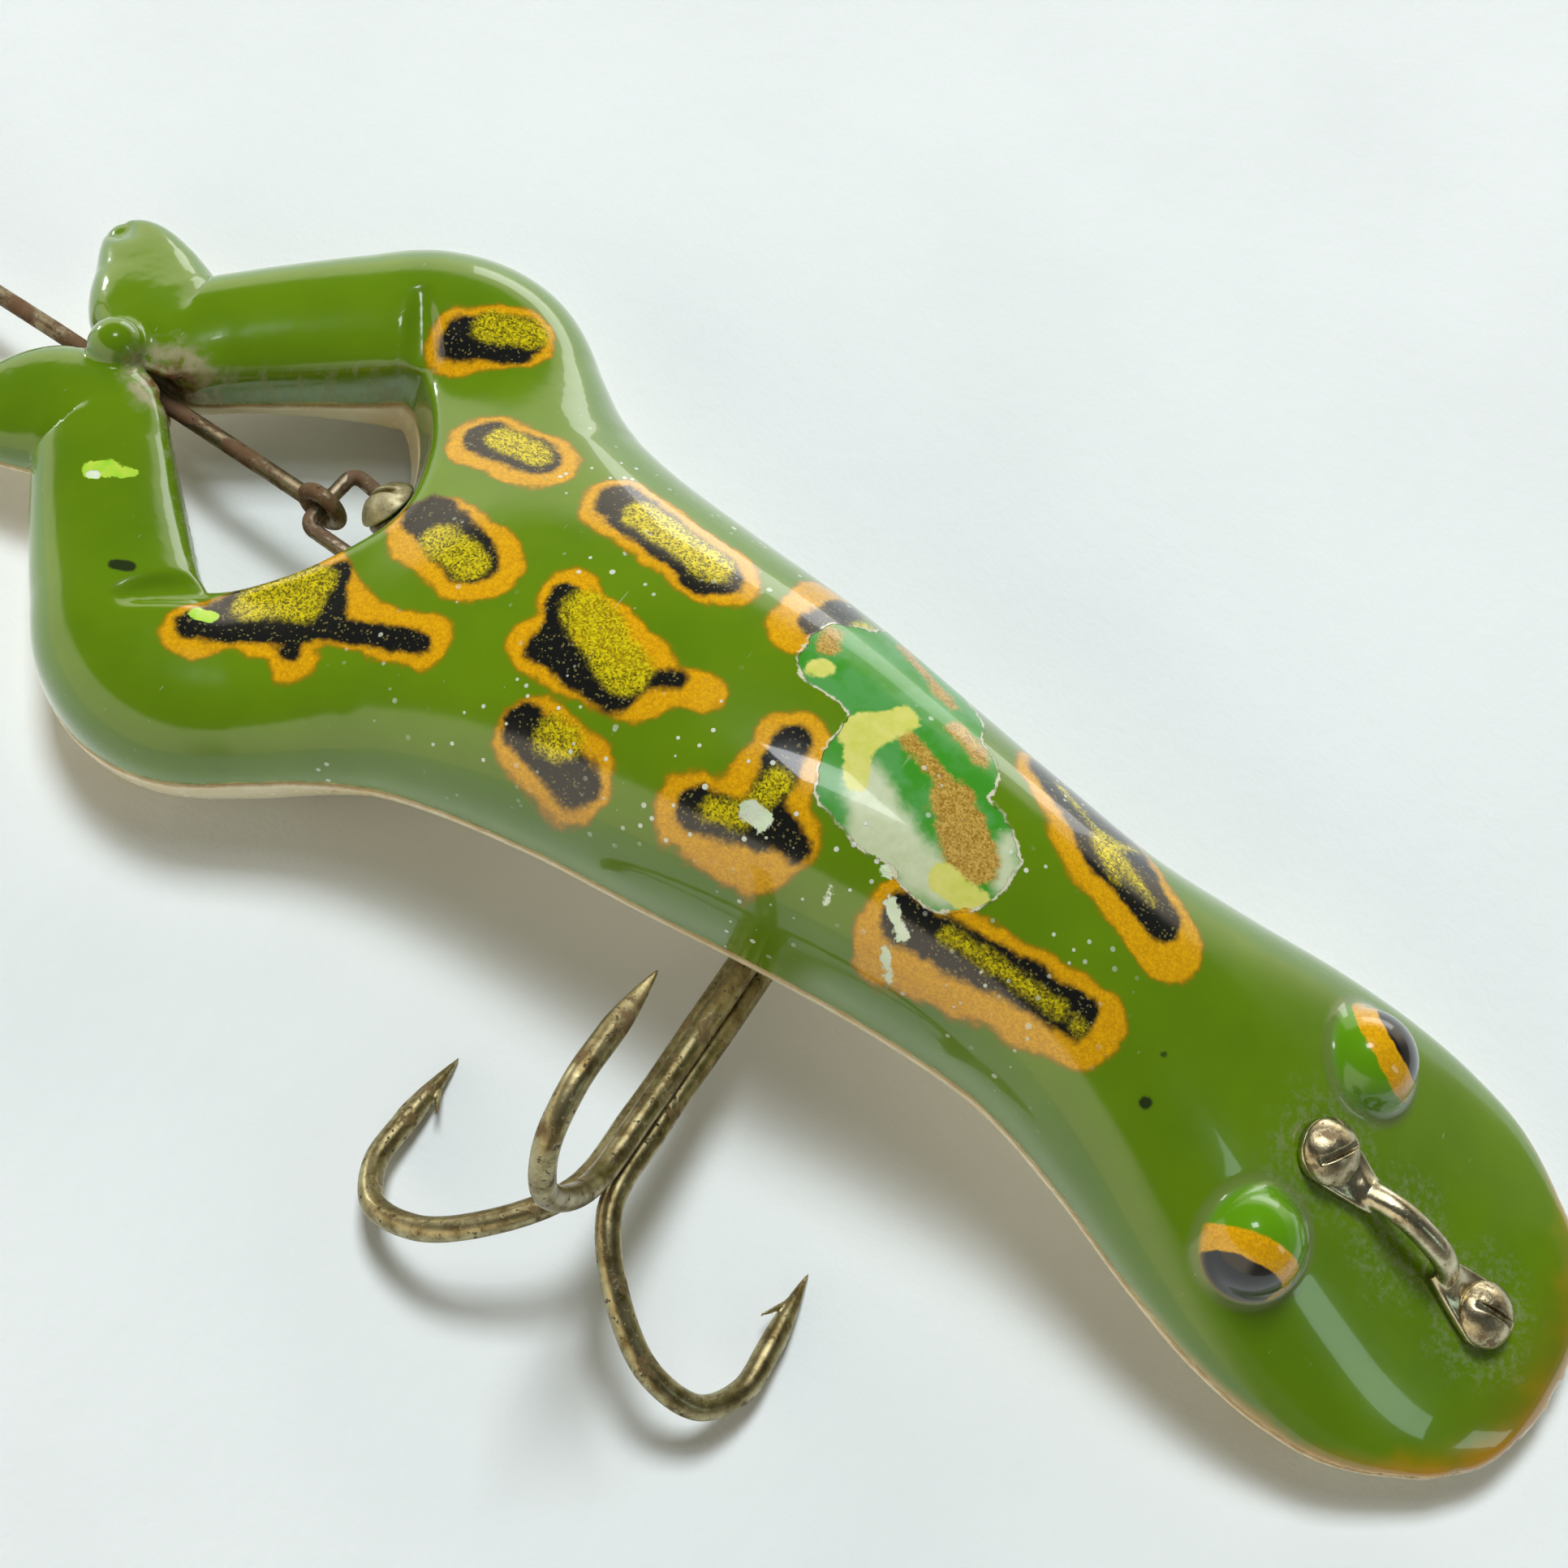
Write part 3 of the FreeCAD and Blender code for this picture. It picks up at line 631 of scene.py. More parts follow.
def back_attributes(points):
    """What the lacquer's paint is laid out by at each point: distances in mm and the eye's angle."""
    x, y, z = points.T
    rise = z - seam_height(x)
    low = rise < SPOTS_END
    marks = {"rise": rise, "along": x, "opening": opening(x, y, z)}
    for layer, key in enumerate(("orange", "black", "gold")):
        nearest = np.min([strokes(x, y, spot[layer]) for spot in SPOTS], axis=0)
        marks[key] = np.where(low, 3.0, nearest)
    for key, table in DAMAGE.items():
        limit = (CHIP_END - rise) * 0.8 if key.startswith("chip") else np.where(low, 3.0, -9.0)
        marks[key] = np.maximum(strokes(x, y, table), limit)
    marks["eye_angle"], marks["eye"] = eye_marks(points)
    tie_middle = (TIE_REAR + TIE_FRONT) / 2
    marks["tie"] = np.min([ball(x, y, z, centre, 0) for centre in (TIE_REAR, TIE_FRONT, tie_middle)], axis=0)
    marks["hole"] = np.sqrt((x - HOOK_HOLE[0]) ** 2 + y**2 + ((z - HOOK_HOLE[2]) * 0.5) ** 2)
    return marks


# ---------------------------------------------------------------- materials

def green_ground(p, along):
    """The plain green, turning amber toward the nose and the seam of the head."""
    base = p.mix(p.step(p.noise(9.0, 3, 0.55), 0.2, 0.8), colour(90, 125, 0), colour(105, 140, 2))
    base = p.mix(p.step(p.noise(0.9, 2, 0.5), 0.62, 0.8) * 0.12, base, colour(122, 150, 6))
    rise = p.attribute("rise") + (p.noise(2.5, 3, 0.5) - 0.5) * 0.8
    base = p.mix(along.above(111.5, 7.0) * 0.65, base, colour(112, 92, 14))
    base = p.mix(rise.below(0.7, 1.3) * along.above(96.0, 20.0) * 0.85, base, colour(214, 140, 10))
    return p.mix(rise.below(0.28, 0.3) * 0.75, base, colour(214, 190, 96))


def painted_spots(p, base, warp, fine, glint, amber):
    """Orange, black and gold-leaf layers of the spots, with painted sparkle on the leaf and painted glints in
    the black; gives the colour and the share of leaf.
    """
    orange = p.attribute("orange") + warp + fine * 0.5
    black = p.attribute("black") + warp * 0.9 + fine
    gold = p.attribute("gold") + warp * 0.7 + fine * 1.8
    edged = p.mix(orange.below(-0.12, 0.4), colour(158, 110, 0), amber)
    base = p.mix(orange.below(0.0, 0.4), base, edged)
    # Black paint with a few flecks lit up as glints: painted highlights.
    black_with_glints = p.mix(glint.above(0.93, 0.04) * 0.5, colour(16, 17, 14), colour(150, 140, 80))
    base = p.mix(black.below(0.0, 0.5), base, black_with_glints)
    # Gold leaf whose light and dark from flake to flake is painted sparkle, a painted highlight.
    leaf = p.mix(glint, colour(112, 100, 4), colour(244, 224, 16))
    golden = gold.below(0.0, 0.75) * (glint.above(0.25, 0.7) * 0.35 + 0.65)
    return p.mix(golden, base, leaf), golden


def painted_eyes(p, base, amber):
    """Black pupil with an orange band round it and a brighter green lid."""
    eye = p.attribute("eye")
    angle = p.attribute("eye_angle") + (p.noise(0.8, 2, 0.5) - 0.5) * 7.0
    on_eye = eye.below(0.25, 0.2)
    base = p.mix(on_eye, base, colour(94, 150, 3))
    base = p.mix(on_eye * angle.below(BAND_ANGLE, 3.0), base, amber)
    base = p.mix(on_eye * angle.below(PUPIL_ANGLE, 3.0), base, colour(7, 7, 8))
    return p.mix(eye.below(0.75, 0.5) * eye.above(0.12, 0.2) * 0.35, base, colour(120, 122, 92))


def large_chip(p, base, warp, fine, glint):
    """The chip on the back, whose layers of older paint show, the pale one partly a painted highlight; gives
    colour, share of chip and its rim.
    """
    chip = p.attribute("chip") + (p.noise(1.8, 4, 0.6) - 0.5) * 1.3 + fine * 0.6
    in_chip = chip.below(0.0, 0.05)
    patch = p.mix(p.step(p.noise(2.2, 3, 0.55), 0.4, 0.62), colour(62, 146, 34), colour(84, 156, 78))
    # Pale older paint in the chip, brightened toward white as a painted highlight of glare on the lower lobe.
    pale_glare_mask = p.attribute("chip_pale") + warp * 1.2 + fine * 1.5
    pale_paint_glare = p.mix(p.noise(0.7, 3, 0.6), colour(192, 202, 154), colour(234, 234, 208))
    patch = p.mix(pale_glare_mask.below(0.2, 1.2) * 0.85, patch, pale_paint_glare)
    brown = p.attribute("chip_brown") + warp * 1.2 + fine * 2.0
    patch = p.mix(brown.below(0.1, 0.5), patch, p.mix(glint, colour(150, 112, 30), colour(206, 170, 84)))
    yellow = p.attribute("chip_yellow") + warp + fine
    primer = p.mix(p.noise(0.8, 3, 0.6), colour(232, 222, 140), colour(190, 200, 50))
    patch = p.mix(yellow.below(0.15, 0.25), patch, primer)
    base = p.mix(in_chip, base, patch)
    rim = chip.below(0.16, 0.08) * chip.above(-0.02, 0.06)
    base = p.mix(rim * p.step(p.noise(1.1, 2, 0.5), 0.38, 0.55), base, colour(214, 212, 180))
    return base, in_chip, rim


def small_chips(p, base, warp, fine):
    """Smudges and small chips down to bright or pale paint; gives the colour and the pale chips."""
    bright = p.attribute("bright") + warp * 0.6 + fine
    pale = (p.attribute("pale") + warp * 0.5 + fine * 1.5).below(0.0, 0.12)
    smudge = p.attribute("smudge") + warp * 0.5
    base = p.mix(smudge.below(0.0, 0.2) * 0.9, base, colour(22, 28, 18))
    lime = p.mix(p.noise(0.9, 2), colour(110, 214, 24), colour(226, 226, 90))
    base = p.mix(bright.below(0.0, 0.1), base, lime)
    return p.mix(pale, base, p.mix(p.noise(0.7, 2), colour(196, 226, 170), colour(244, 244, 232))), pale


def worn_edges(p, base, along):
    """Lacquer worn by the hook round its hole and the opening, and scuffed round the line tie."""
    window = p.attribute("opening") + (p.noise(1.2, 3, 0.6) - 0.5) * 1.6
    streak = p.step(p.noise(0.9, 4, 0.65, (1.4, 0.6, 0.5)), 0.47, 0.66)
    worn = window.below(0.4, 0.8) * streak * along.below(SHINS_END_X, 3.0)
    base = p.mix(worn * 0.6, base, colour(168, 168, 138))
    hole = p.attribute("hole") + (p.noise(1.4, 3, 0.6) - 0.5) * 2.2
    base = p.mix(hole.below(2.7, 1.4) * p.step(p.noise(0.8, 3), 0.3, 0.6) * 0.85, base, colour(176, 166, 132))
    base = p.mix(hole.below(1.7, 0.8) * p.step(p.noise(0.7, 3), 0.35, 0.6) * 0.9, base, colour(112, 58, 22))
    tie = p.attribute("tie") + (p.noise(1.5, 3, 0.6) - 0.5) * 3.0
    scuff = tie.below(3.6, 2.6) * p.step(p.noise(0.45, 4, 0.7), 0.42, 0.75)
    return p.mix(scuff * 0.55, base, colour(150, 152, 124)), p.math("MAXIMUM", scuff, worn)


def specks_and_hairs(p, base, along):
    """Fine white specks on the middle of the back, and hair scratches."""
    middle = along.above(37.0, 6.0) * along.below(80.0, 8.0)
    dots = (p.cells(0.95) - p.noise(1.9, 1) * 0.3).below(-0.01, 0.03)
    speck = dots * p.step(p.noise(7.0, 2), 0.46, 0.6) * middle
    hair = p.step(p.noise(0.22, 1, 0.5, (1, 0.07, 1), 0.9), 0.755, 0.79) * p.step(p.noise(5.0, 2), 0.52, 0.62)
    base = p.mix(speck * 0.85, base, colour(226, 232, 214))
    return p.mix(hair * 0.35, base, colour(200, 208, 170)), speck


def lacquer():
    p = Paint("green_lacquer")
    warp = (p.noise(1.6, 3, 0.55) - 0.5) * 1.1
    fine = (p.noise(0.35, 2, 0.6) - 0.5) * 0.34
    # A random value for each fine flake: the painted sparkle on the gold, the painted glints in the black,
    # and the orange's flake tone.
    glint = Value(p, p.add("SeparateColor", Color=p.cells(0.11, "Color")).outputs[0])
    amber = p.mix(glint, colour(204, 145, 0), colour(232, 174, 0))
    along = p.attribute("along")
    base = green_ground(p, along)
    base, golden = painted_spots(p, base, warp, fine, glint, amber)
    base = painted_eyes(p, base, amber)
    base, in_chip, rim = large_chip(p, base, warp, fine, glint)
    base, pale = small_chips(p, base, warp, fine)
    base, dull = worn_edges(p, base, along)
    base, speck = specks_and_hairs(p, base, along)
    relief = p.bump((p.noise(5.0, 2, 0.5), 0.10), (p.noise(0.5, 2, 0.5), 0.004),
                    (in_chip * -1.0 + rim * 0.6, 0.07), (dull * p.noise(0.3, 2), 0.03),
                    (speck + pale * -1.0, 0.03))
    coat = (dull * -0.75 + 1.0) * (in_chip * -0.45 + 1.0)
    return p.finish(base, dull * 0.4 + 0.22, golden * 0.2, relief, Coat_Weight=coat, Coat_Roughness=0.045,
                    Coat_IOR=1.5, Specular_IOR_Level=0.35)


def cream():
    p = Paint("cream_plastic")
    tone = p.mix(p.step(p.noise(6.0, 3, 0.55), 0.35, 0.7), colour(236, 226, 192), colour(222, 202, 150))
    tone = p.mix(p.step(p.noise(1.3, 3, 0.6), 0.66, 0.74) * 0.35, tone, colour(160, 128, 78))
    rise = p.attribute("rise") + (p.noise(1.6, 3, 0.5) - 0.5) * 0.4
    tone = p.mix(rise.above(-0.22, 0.25) * 0.55, tone, colour(168, 132, 66))
    scratch = p.step(p.noise(0.25, 1, 0.5, (1, 0.06, 1), 0.4), 0.75, 0.8)
    relief = p.bump((p.noise(4.0, 2), 0.08), (p.noise(0.4, 2), 0.004), (scratch * -1.0, 0.01))
    return p.finish(tone, p.noise(2.0, 3) * 0.15 + 0.18, 0.0, relief, Coat_Weight=0.6, Coat_Roughness=0.06,
                    Subsurface_Weight=0.12, Subsurface_Scale=0.002)


def metal(name, tones, stain_share, pit_share, rough, grain=1.0):
    """Old plated metal: light and dark plating tones, patches of stain and dark pitting."""
    p = Paint(name)
    light, dark, stain = (colour(*tone) for tone in tones)
    tone = p.mix(p.step(p.noise(1.3 * grain, 4, 0.65), 0.32, 0.68), light, dark)
    patch = p.step(p.noise(2.6 * grain, 4, 0.6) + (p.noise(0.4, 3, 0.6) - 0.5) * 0.25,
                   0.66 - stain_share * 0.32, 0.76 - stain_share * 0.32)
    tone = p.mix(patch * 0.85, tone, stain)
    pit = p.step(p.noise(0.42 * grain, 3, 0.6), 0.70 - pit_share * 0.2, 0.76 - pit_share * 0.2)
    tone = p.mix(pit * 0.8, tone, colour(34, 26, 18))
    dull = p.math("MAXIMUM", patch, pit)
    relief = p.bump((p.noise(0.25 * grain, 3), 0.012), (dull * -1.0, 0.02), (p.noise(0.12, 2), 0.004))
    roughness = dull * 0.35 + p.noise(0.9 * grain, 3) * 0.2 + (rough - 0.1)
    return p.finish(tone, roughness, dull * -0.75 + 1.0, relief)


green_lacquer = lacquer()
cream_plastic = cream()
treble_steel = metal("treble_steel", ((178, 168, 128), (116, 102, 66), (92, 70, 38)), 0.35, 0.45, 0.34)
bronzed_wire = metal("bronzed_wire", ((150, 138, 112), (100, 84, 62), (98, 70, 46)), 0.6, 0.35, 0.48)
hanger_wire = metal("hanger_wire", ((158, 146, 124), (104, 92, 76), (104, 76, 54)), 0.6, 0.3, 0.42)
nickel_bar = metal("nickel_bar", ((214, 206, 176), (166, 156, 124), (128, 112, 78)), 0.25, 0.12, 0.26, 0.8)
nickel_screws = metal("nickel_screws", ((206, 196, 164), (148, 134, 104), (116, 96, 66)), 0.3, 0.2, 0.28, 0.7)
dull_screws = metal("tarnished_screws", ((206, 200, 168), (158, 148, 112), (120, 106, 72)), 0.3, 0.15, 0.5,
                    0.7)
brazing = metal("braze", ((168, 142, 84), (112, 88, 48), (92, 58, 30)), 0.5, 0.3, 0.4)


# ---------------------------------------------------------------- the two mouldings

back = surface(back_field, (2.5, -21.5, 1.0), (115.0, 21.5, 21.0), 0.25)
piece("frog_back", back, "frog", ["back_shell"], green_lacquer, back_attributes(back[0]))
belly = surface(belly_field, (2.5, -21.5, -0.8), (115.0, 21.5, 10.8), 0.3)
piece("frog_belly", belly, "frog", ["belly_shell"], cream_plastic,
      {"rise": belly[0][:, 2] - seam_height(belly[0][:, 0])})


# ---------------------------------------------------------------- screws, line tie and hangers

def screw_field(slot_angle):
    """A slotted round-head screw with its seat at the origin and its head along z."""
    slot_wide, slot_deep, shank_radius, shank_long = 0.42, 0.55, 0.72, 4.6
    crown = (HEAD_RADIUS**2 + HEAD_HEIGHT**2) / (2 * HEAD_HEIGHT)
    turn = math.radians(slot_angle)

    def field(x, y, z):
        from_axis = np.sqrt(x * x + y * y)
        head = smooth_max(ball(x, y, z, (0, 0, HEAD_HEIGHT - crown), crown), -z, 0.12)
        head = smooth_max(head, from_axis - HEAD_RADIUS, 0.2)
        across = -x * math.sin(turn) + y * math.cos(turn)
        slot = smooth_max(np.abs(across) - slot_wide / 2, HEAD_HEIGHT - slot_deep - z, 0.06)
        head = smooth_max(head, -slot, 0.12)
        shank = np.maximum(from_axis - shank_radius, np.maximum(z - 0.2, -shank_long - z))
        return smooth_min(head, shank, 0.1)
    return field


def frame_along(out):
    """Three directions with z along out, as a screw on that seat is turned."""
    turn = Vector((0, 0, 1)).rotation_difference(Vector([float(k) for k in out]))
    return np.array(turn.to_matrix()).T


def screw(name, seat, out, slot_angle, material):
    shape = surface(screw_field(slot_angle), (-2.3, -2.3, -4.9), (2.3, 2.3, 1.6), 0.075)
    piece(name + "_look", placed(shape, frame_along(out), seat), "frog", [name], material)


for end, seat, slot_angle in (("rear", TIE_REAR, 62), ("front", TIE_FRONT, 12)):
    screw(f"line_tie_{end}_screw", seat + TIE_NORMAL * PLATE_THICK, TIE_NORMAL, slot_angle,
          nickel_screws)

TIE_LENGTH = float(np.linalg.norm(TIE_FRONT - TIE_REAR))
NECK_AT, NECK_HALF = 4.1, 0.85


def tie_plate(x, y, z, centre, toward):
    """A flat round end that narrows to a neck on the side of the bridge."""
    along = (x - centre) * toward
    half = np.interp(along, [-1.9, 0.0, 1.0, NECK_AT], [PLATE_RADIUS, PLATE_RADIUS, 1.65, NECK_HALF])
    edge = np.where(along < 0, np.hypot(along, y) - PLATE_RADIUS, np.abs(y) - half)
    edge = np.maximum(edge, along - NECK_AT)
    return smooth_max(edge, np.abs(z - PLATE_THICK / 2) - PLATE_THICK / 2, 0.22)


def tie_field(x, y, z):
    """The line tie bar, x from its rear screw to its front one, z away from the head."""
    middle = (x - TIE_LENGTH / 2) / (TIE_LENGTH / 2 - 3.0)
    lift = PLATE_THICK / 2 + 1.55 * np.clip(1 - np.abs(middle) ** 2.6, 0, 1)
    wire = smooth_max(np.sqrt(y * y + (z - lift) ** 2) - TIE_WIRE, np.abs(middle) - 1.12, 0.3)
    ends = smooth_min(tie_plate(x, y, z, 0.0, 1), tie_plate(x, y, z, TIE_LENGTH, -1), 0.1)
    return smooth_min(ends, wire, 0.45)


tie = surface(tie_field, (-2.2, -2.2, -0.8), (TIE_LENGTH + 2.2, 2.2, 3.2), 0.085)
tie_axes = np.array([TIE_ALONG, (0, 1, 0), TIE_NORMAL])
piece("line_tie_bar_look", placed(tie, tie_axes, TIE_REAR), "frog", ["line_tie_bar"],
      nickel_bar)


LOOP_RADIUS, HANGER, CORNER = 1.25, 0.5, 0.75
BELLY_SCREW_X, BELLY_WIRE_END_X = 68.9, 59.8


def loop_round(centre, out, opening_angle):
    """Points of a wire loop, not quite closed, round a screw."""
    axes = frame_along(out)
    angle = np.linspace(opening_angle, opening_angle + 2 * math.pi * 0.93, 40)[:, None]
    return centre + LOOP_RADIUS * (np.cos(angle) * axes[0] + np.sin(angle) * axes[1])


def bent(points, bend):
    """Points along straight runs with a round bend at each corner."""
    points = [np.asarray(p, float) for p in points]
    out = [points[0]]
    for before, corner, after in zip(points, points[1:], points[2:]):
        a = (before - corner) / np.linalg.norm(before - corner)
        b = (after - corner) / np.linalg.norm(after - corner)
        half = math.acos(a @ b) / 2
        start, end = corner + a * bend / math.tan(half), corner + b * bend / math.tan(half)
        centre = corner + (a + b) / np.linalg.norm(a + b) * bend / math.sin(half)
        arc = []
        for t in np.linspace(0, 1, 14):
            spoke = (start - centre) * (1 - t) + (end - centre) * t
            arc.append(centre + spoke / np.linalg.norm(spoke) * bend)
        straight = np.linspace(out[-1], arc[0], 8)[1:-1]
        out += list(straight) + arc
    return np.array(out + list(np.linspace(out[-1], points[-1], 10)[1:]))


def hanger(name, centre, out, opening_angle, line):
    """A wire held by a loop round its screw, and bent along a line of corners."""
    loop = sweep(loop_round(centre, out, opening_angle), HANGER)
    arm = sweep(bent(line, CORNER), HANGER * 0.96)
    piece(name + "_look", joined([loop, arm]), "frog", [name], hanger_wire)


belly_z = float(np.interp(BELLY_SCREW_X, STATIONS[:, 0], STATIONS[:, 4]))
seat = np.array([BELLY_SCREW_X, 0, belly_z - HANGER])
level = BELLY_PIVOT[2]
hanger("belly_hanger", seat, (0, 0, -1), math.pi,
       [seat - (LOOP_RADIUS, 0, 0), seat - (2.1, 0, 0), (BELLY_SCREW_X - 3.9, 0, level),
        (BELLY_WIRE_END_X, 0, level), (BELLY_WIRE_END_X, 0, level + 4.0)])
screw("belly_hanger_screw", seat - (0, 0, HANGER), (0, 0, -1), 35, dull_screws)

seat = REAR_SCREW + REAR_SCREW_OUT * HANGER
start = seat + (0, LOOP_RADIUS, 0)
in_plane = np.array([-REAR_SCREW_OUT[2], 0, REAR_SCREW_OUT[0]])
px, _, pz = REAR_PIVOT
hanger("rear_hanger", seat, REAR_SCREW_OUT, -2.0,
       [start, start + in_plane * 2.4, (px, 3.0, pz), (px, -1.6, pz), (px + 5.0, -1.6, pz)])
screw("rear_hanger_screw", seat + REAR_SCREW_OUT * HANGER, REAR_SCREW_OUT, 20,
      dull_screws)


# ---------------------------------------------------------------- hooks

def hook_field(curve, tip, offset, radius, neck=None):
    """A hook's wire in its own plane: x along the shank, z toward the point; y is across.

    offset moves it off the shank's axis, and neck thins its start: from x, to x, share left at the start.
    """
    bend = path([(along, out + offset) for along, out in curve], 500)
    point = np.array([tip[0], tip[1] + offset])
    to_point = point - bend[-1]
    share = np.linspace(0.02, 1, 90)
    line = np.vstack([bend, bend[-1] + share[:, None] * to_point])
    size = np.concatenate([np.full(len(bend), radius), radius * (1 - share**1.5 * 0.93)])
    if neck:
        start, end, narrowed = neck
        run = bend[:, 0]
        size[:len(bend)] *= np.interp(run, [start, end], [narrowed, 1.0])
        line[:len(bend), 1] -= offset * np.interp(run, [start, end], [0.35, 0.0])
    inward = np.array([to_point[1], -to_point[0]]) / np.linalg.norm(to_point)
    if inward[1] > 0:
        inward = -inward
    root = bend[-1] + to_point * 0.60
    heel = bend[-1] + to_point * 0.17 + inward * radius * 2.05

    def field(x, y, z):
        shape = np.broadcast(x, z).shape
        best = np.full(shape, 1e9)
        wide = np.full(shape, radius)
        for (cx, cz), r in zip(line, size):
            away = np.sqrt((x - cx) ** 2 + (z - cz) ** 2) - r
            near = away < best
            best = np.where(near, away, best)
            wide = np.where(near, r, wide)
        wire = np.sqrt((best + wide) ** 2 + y * y) - wide
        barb = capsule(x, y * 1.5, z, (root[0], 0, root[1]), (heel[0], 0, heel[1]), radius * 0.42, 0.07)
        return smooth_min(wire, barb, 0.12)
    return field, line


def hook(curve, tip, offset, radius, neck=None, step=0.14):
    field, line = hook_field(curve, tip, offset, radius, neck)
    low = line.min(0) - radius * 1.7
    high = line.max(0) + radius * 1.7
    return surface(field, (low[0], -radius * 1.4, low[1]), (high[0], radius * 1.4, high[1]), step)


def turned(shape, angle):
    """Turns a hook round its shank."""
    a = math.radians(angle)
    axes = np.array([(1, 0, 0), (0, math.cos(a), math.sin(a)), (0, -math.sin(a), math.cos(a))])
    return placed(shape, axes, (0, 0, 0))


def ring(hole, tube):
    """A hook's eye: a ring in the xz plane, from the radius of its hole and of its wire."""
    around_eye = np.linspace(0, 2 * math.pi, 64, endpoint=False)
    around_wire = np.linspace(0, 2 * math.pi, 24, endpoint=False)
    a, b = np.meshgrid(around_eye, around_wire, indexing="ij")
    out = hole + tube + tube * np.cos(b)
    points = np.stack([out * np.cos(a), tube * np.sin(b), out * np.sin(a)], -1)
    n, m = a.shape
    faces = [[i * m + j, i * m + (j + 1) % m, ((i + 1) % n) * m + (j + 1) % m, ((i + 1) % n) * m + j]
             for i in range(n) for j in range(m)]
    return points.reshape(-1, 3), faces


TREBLE_WIRE = 0.70
TREBLE_CURVE = [(3.0, 0.0), (12.0, 0.0), (19.6, 0.0), (25.3, 0.5), (28.5, 3.7), (30.2, 7.8),
                (29.5, 11.2), (27.2, 12.75), (23.7, 12.85)]
TREBLE_TIP = (19.2, 12.5)
DOUBLE_OFFSET, THIRD_OFFSET = 0.83, 0.89
pitch, yaw = math.radians(10.0), math.radians(4.5)
TREBLE_ALONG = (math.sin(yaw) * math.cos(pitch), -math.cos(yaw) * math.cos(pitch), math.sin(pitch))
double = hook([(1.6, 0.0)] + TREBLE_CURVE, TREBLE_TIP, DOUBLE_OFFSET, TREBLE_WIRE, (1.6, 4.0, 0.75))
wires = [ring(0.85, 0.60), turned(double, 120), turned(double, -120)]
piece("treble_double_wire_look", placed(joined(wires), aimed(TREBLE_ALONG), BELLY_PIVOT), "treble",
      ["treble_double_wire"], treble_steel)
third = hook([(8.0, 0.0)] + TREBLE_CURVE[1:], TREBLE_TIP, THIRD_OFFSET, TREBLE_WIRE)
piece("treble_third_wire_look", placed(turned(third, 9.4), aimed(TREBLE_ALONG), BELLY_PIVOT), "treble",
      ["treble_third_wire"], treble_steel)
run = np.linspace(8.5, 18.6, 60)
rod = sweep(np.stack([run, run * 0, run * 0], 1), 0.42 + 0.03 * np.sin(run * 3.1))
piece("treble_braze_look", placed(rod, aimed(TREBLE_ALONG), BELLY_PIVOT), "treble", ["treble_braze"],
      brazing)

REAR_CURVE = [(1.3, 0.0), (10.0, 0.0), (20.0, 0.0), (31.0, 0.0), (34.6, 0.5), (37.6, 2.8), (38.5, 5.6),
              (37.6, 8.2), (35.2, 9.6), (32.6, 9.8)]
REAR_TIP, REAR_WIRE = (27.2, 9.4), 0.55
single = hook(REAR_CURVE, REAR_TIP, 0.0, REAR_WIRE, step=0.13)
REAR_ALONG = (-math.cos(REAR_DROP), 0, -math.sin(REAR_DROP))
hook_and_eye = joined([ring(0.75, 0.50), single])
piece("rear_hook_look", placed(hook_and_eye, aimed(REAR_ALONG), REAR_PIVOT), "trailing_hook",
      ["rear_hook"], bronzed_wire)


# ---------------------------------------------------------------- paper, light and camera

def paper():
    p = Paint("paper")
    tone = p.mix(p.step(p.noise(28.0, 3, 0.5), 0.3, 0.7), colour(240, 244, 244), colour(235, 239, 239))
    relief = p.bump((p.noise(1.6, 4, 0.6), 0.05), (p.noise(0.4, 2), 0.01))
    return p.finish(tone, 0.75, 0.0, relief, Specular_IOR_Level=0.25)


def floor():
    mesh = bpy.data.meshes.new("paper_sheet")
    side = np.linspace(-1.2, 1.2, 25)
    x, y = np.meshgrid(side, side, indexing="ij")
    points = np.stack([x, y, np.full_like(x, -0.00002)], -1).reshape(-1, 3)
    n = len(side)
    faces = [[i * n + j, (i + 1) * n + j, (i + 1) * n + j + 1, i * n + j + 1]
             for i in range(n - 1) for j in range(n - 1)]
    mesh.from_pydata(points.tolist(), [], faces)
    mesh.materials.append(paper())
    in_scene("paper_sheet", mesh)


def light(name, direction, distance, size, power, tint=(1, 1, 1), mirrored=True):
    """A soft rectangular light that faces the lure from a direction; mirrored if reflections show it."""
    data = bpy.data.lights.new(name, "AREA")
    data.shape = "RECTANGLE"
    data.size, data.size_y = size
    data.energy = power
    data.color = tint
    obj = in_scene(name, data)
    d = Vector(direction).normalized()
    obj.location = d * distance
    obj.rotation_euler = (-d).to_track_quat("-Z", "Y").to_euler()
    obj.visible_glossy = mirrored
    return obj


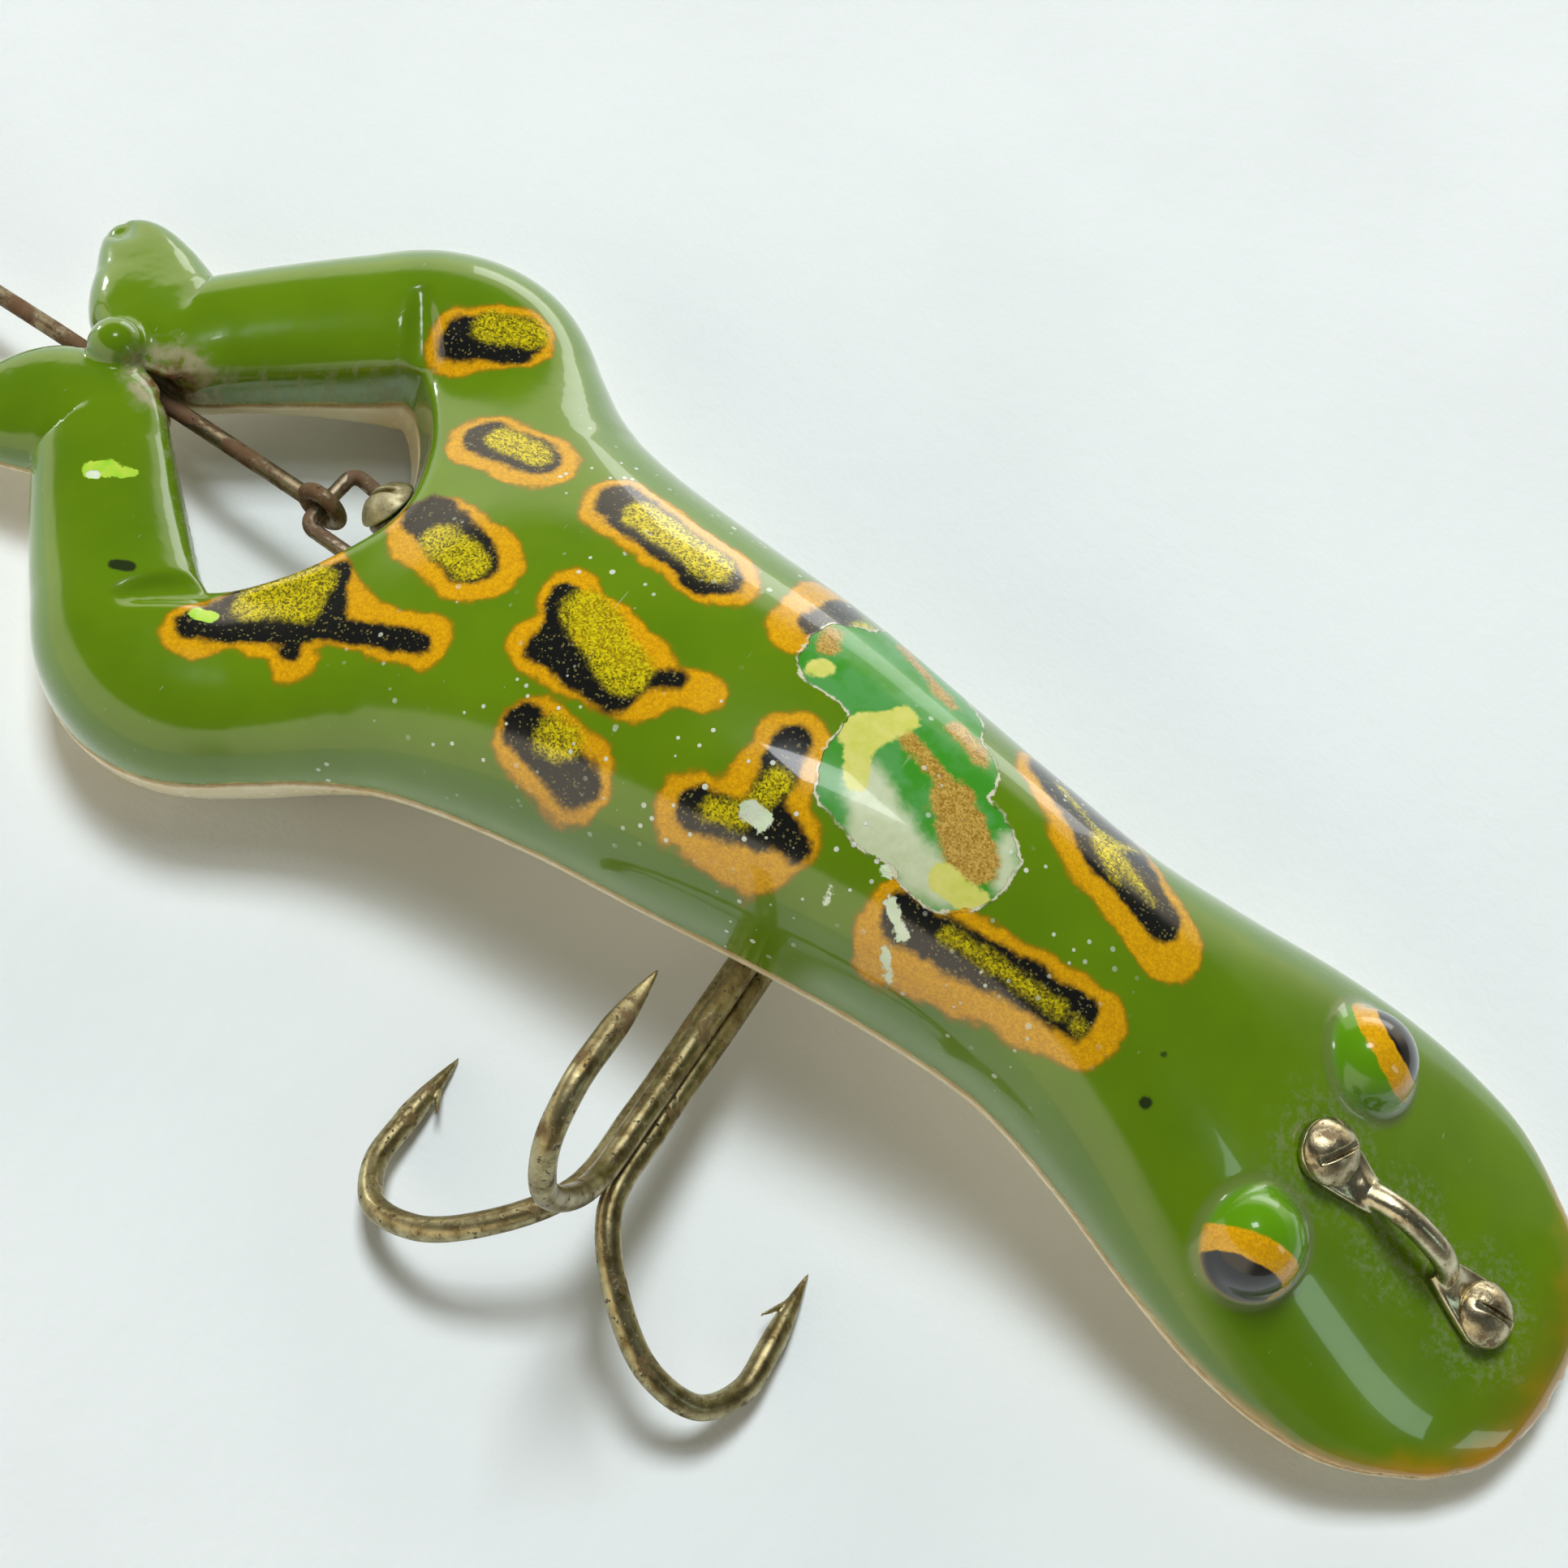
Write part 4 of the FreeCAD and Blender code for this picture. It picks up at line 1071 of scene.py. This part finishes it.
def world():
    """A room with bright walls, higher at the sides, a dim ceiling and a dark wall beyond the nose."""
    room = bpy.data.worlds.new("room")
    room.use_nodes = True
    w = Nodes(room.node_tree)
    split = w.add("SeparateXYZ", Vector=Value(w, w.add("TexCoord").outputs["Generated"]))
    x, y, z = (Value(w, socket) for socket in split.outputs)
    # How far up the walls go, most of all to the frog's right
    wall_top = w.math("ABSOLUTE", y) * 0.22 + w.math("MAXIMUM", y * -1.0, 0.0) * 0.25 + 0.28
    walls = (z - wall_top).below(0.0, 0.12)
    ahead = x.below(0.425, 0.35) * 0.85 + 0.15
    glow = w.mix(walls * ahead, (0.07, 0.075, 0.07, 1), (1.22, 1.08, 0.86, 1))
    w.put(room.node_tree.nodes["Background"].inputs[0], glow)
    bpy.context.scene.world = room


def camera():
    data = bpy.data.cameras.new("camera")
    data.sensor_width = 36.0
    data.lens = 60.22
    obj = in_scene("camera", data)
    right = Vector((0.812, 0.5707, 0.1223))
    down = Vector((0.5617, -0.707, -0.4297))
    ahead = Vector((-0.1588, 0.4176, -0.8946))
    turn = Matrix((right, -down, -ahead)).transposed()
    obj.rotation_euler = turn.to_euler()
    obj.location = (Vector((83.1347, -61.3623, 141.797)) + Vector(SHIFT)) / 1000
    data.clip_start, data.clip_end = 0.01, 20
    bpy.context.scene.camera = obj


floor()
world()
light("ceiling_key", (-0.3, 0.35, 0.89), 3.0, (0.9, 0.8), 68, (0.88, 0.945, 0.985), mirrored=False)
metal_light = light("metal_sheen", (-0.3, 0.3, 0.9), 1.2, (1.1, 0.9), 9, (1.0, 0.985, 0.95))
metal_light.light_linking.receiver_collection = metals
light("window", (-0.97, 0.15, 0.12), 1.1, (0.17, 0.13), 0.85, (0.9, 0.97, 1.0))
light("far_window", (-0.2, 0.96, 0.18), 1.5, (1.1, 0.42), 3.4, (0.95, 0.98, 1.0))
light("lamp_glare", (-0.17, 0.17, 0.97), 1.2, (0.26, 0.2), 1.3, (0.95, 0.98, 1.0))
light("front_fill", (0.85, 0.12, 0.50), 1.2, (0.15, 0.36), 0.36, (0.75, 1.0, 0.98))
bpy.context.scene.view_settings.view_transform = "Standard"
camera()
